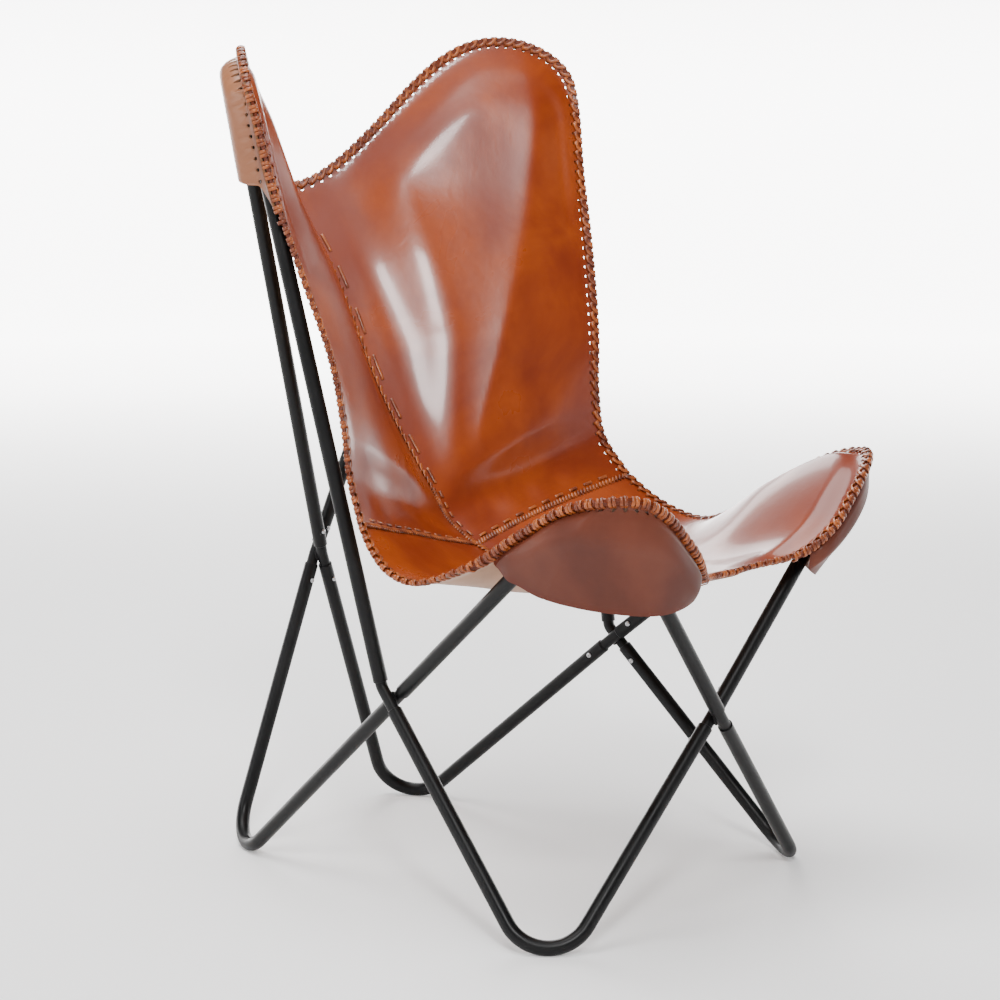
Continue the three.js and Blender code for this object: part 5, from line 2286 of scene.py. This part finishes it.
@dataclass(frozen=True)
class Studio:
    """A pale round floor that curves up to a wall, with soft lights and the camera."""

    floor_radius: float = 7.0
    wall_bend: float = 1.6
    wall_height: float = 2.6
    turns: int = 96
    near_glow: float = 1.4
    far_glow: float = 7.0
    glow_run: tuple = (1.8, 5.5)
    dim_run: tuple = (-1.0, 7.0)
    fade_start: float = 0.8
    dim_share: float = 0.1
    sky_glow: float = 0.14
    camera_place: tuple = (-2.09466, -1.66819, 0.82878)
    camera_turn: float = math.radians(51.2298)
    camera_tilt: float = math.radians(8.7817)
    focal_share: float = 2.45037
    sensor: float = 36.0
    lights: tuple = (
        SoftBox("overhead", (-0.4, 0.3, 3.4), (0.0, 0.0, 0.4), (2.2, 2.2), 150),
        SoftBox("key", (-2.3, -2.1, 3.0), (0.0, 0.1, 0.6), (0.45, 1.0), 105),
        SoftBox("side", (-3.4, 1.2, 1.9), (0.0, 0.1, 0.6), (1.0, 1.6), 40),
        SoftBox("back", (2.2, 2.4, 2.4), (0.0, 0.1, 0.6), (1.4, 1.8), 85))

    def make_floor(self) -> None:
        """The floor and wall as one turned surface."""
        angles = np.linspace(0, math.pi / 2, 16)
        radii = np.concatenate([[0.01, 1.5, 3.0, 5.0],
                                self.floor_radius + self.wall_bend * np.sin(angles),
                                [self.floor_radius + self.wall_bend]])
        heights = np.concatenate([[0, 0, 0, 0], self.wall_bend * (1 - np.cos(angles)),
                                  [self.wall_height]])
        turns = np.linspace(0, 2 * math.pi, self.turns, endpoint=False)
        grid = paired(radii[:, None] * np.cos(turns), radii[:, None] * np.sin(turns),
                      heights[:, None] * np.ones(self.turns))
        faces = grid_faces(len(radii), self.turns, False, True)
        faces.append(tuple(range(self.turns)))
        floor = make_object("studio_floor", grid.reshape(-1, 3), faces)
        floor.data.materials.append(self.paper())

    def paper(self) -> Material:
        """The backdrop's paper, which glows brighter away from the camera.

        Returns:
            The new material.
        """
        paper = bpy.data.materials.new("studio_paper")
        paper.use_nodes = True
        tree = paper.node_tree
        shader = tree.nodes["Principled BSDF"]
        set_inputs(shader, Base_Color=(0.86, 0.855, 0.855, 1), Roughness=0.9,
                   Emission_Color=(1, 0.985, 0.98, 1))
        place = tree.nodes.new("ShaderNodeTexCoord").outputs["Object"]
        reach, behind = (tree.nodes.new("ShaderNodeVectorMath") for _ in range(2))
        reach.operation, behind.operation = "LENGTH", "DOT_PRODUCT"
        behind.inputs[1].default_value = (math.sin(self.camera_turn),
                                          math.cos(self.camera_turn), 0)
        split = tree.nodes.new("ShaderNodeSeparateXYZ")
        for node in (reach, behind, split):
            tree.links.new(place, node.inputs[0])
        out = Finish.spread(tree, reach.outputs["Value"], *self.glow_run, self.near_glow,
                            self.far_glow)
        turned = Finish.spread(tree, behind.outputs["Value"], *self.dim_run, self.dim_share, 1)
        fade = Finish.spread(tree, split.outputs["Z"], self.fade_start, self.wall_height, 1,
                             self.sky_glow / self.far_glow)
        level, glow = (tree.nodes.new("ShaderNodeMath") for _ in range(2))
        level.operation = glow.operation = "MULTIPLY"
        for out_socket, into in ((out, level.inputs[0]), (turned, level.inputs[1]),
                                 (level.outputs[0], glow.inputs[0]), (fade, glow.inputs[1]),
                                 (glow.outputs[0], shader.inputs["Emission Strength"])):
            tree.links.new(out_socket, into)
        return paper

    def make_camera(self) -> None:
        """The camera of the photograph."""
        data = bpy.data.cameras.new("photo_camera")
        data.sensor_width = self.sensor
        data.lens = self.focal_share * self.sensor
        camera = bpy.data.objects.new("photo_camera", data)
        ahead = Vector((math.sin(self.camera_turn) * math.cos(self.camera_tilt),
                        math.cos(self.camera_turn) * math.cos(self.camera_tilt),
                        -math.sin(self.camera_tilt)))
        camera.location = Vector(self.camera_place) + Vector((0, CROSSING_Y, 0))
        camera.rotation_euler = ahead.to_track_quat("-Z", "Y").to_euler()
        bpy.context.collection.objects.link(camera)
        bpy.context.scene.camera = camera

    def build(self) -> None:
        """Sets up the floor, the light and the camera."""
        self.make_floor()
        self.make_camera()
        for light in self.lights:
            light.build()
        world = bpy.data.worlds.new("studio")
        world.use_nodes = True
        sky = world.node_tree.nodes["Background"]
        set_inputs(sky, Color=(1.0, 0.99, 0.98, 1), Strength=self.sky_glow)
        bpy.context.scene.world = world


def main() -> None:
    """Builds the chair piece by piece in the studio."""
    logging.basicConfig(level=logging.INFO, format="%(name)s %(message)s")
    thongs, copies = ThongTree(), CopyTree()
    steel = SteelFrame()
    steel.build(copies)
    shape = SlingShape(steel.paths["left_horn_tube"][0].apex,
                       steel.paths["left_wing_tube"][0].apex)
    tan, raw, brown, pale, lace = (leather.material()
                                   for leather in (TAN, RAW, BROWN, PALE, THONG))
    halves = {side: HalfSling(shape, side, steel) for side in Side}
    for side, half in halves.items():
        half.make_panel(half.back, (tan, raw))
        half.make_panel(half.seat, (tan, raw))
        half.make_horn_pocket((raw, pale))
        half.make_wing_pocket((brown, raw))
        middle = ("top_edge_lace", "front_edge_lace") if side is Side.LEFT else ()
        half.make_lace(thongs, lace, (f"side_edge_lace_{side.word}", *middle))
    SeamWork(halves[Side.LEFT], halves[Side.RIGHT], thongs, lace, raw).build()
    Studio().build()


if __name__ == "__main__":
    main()
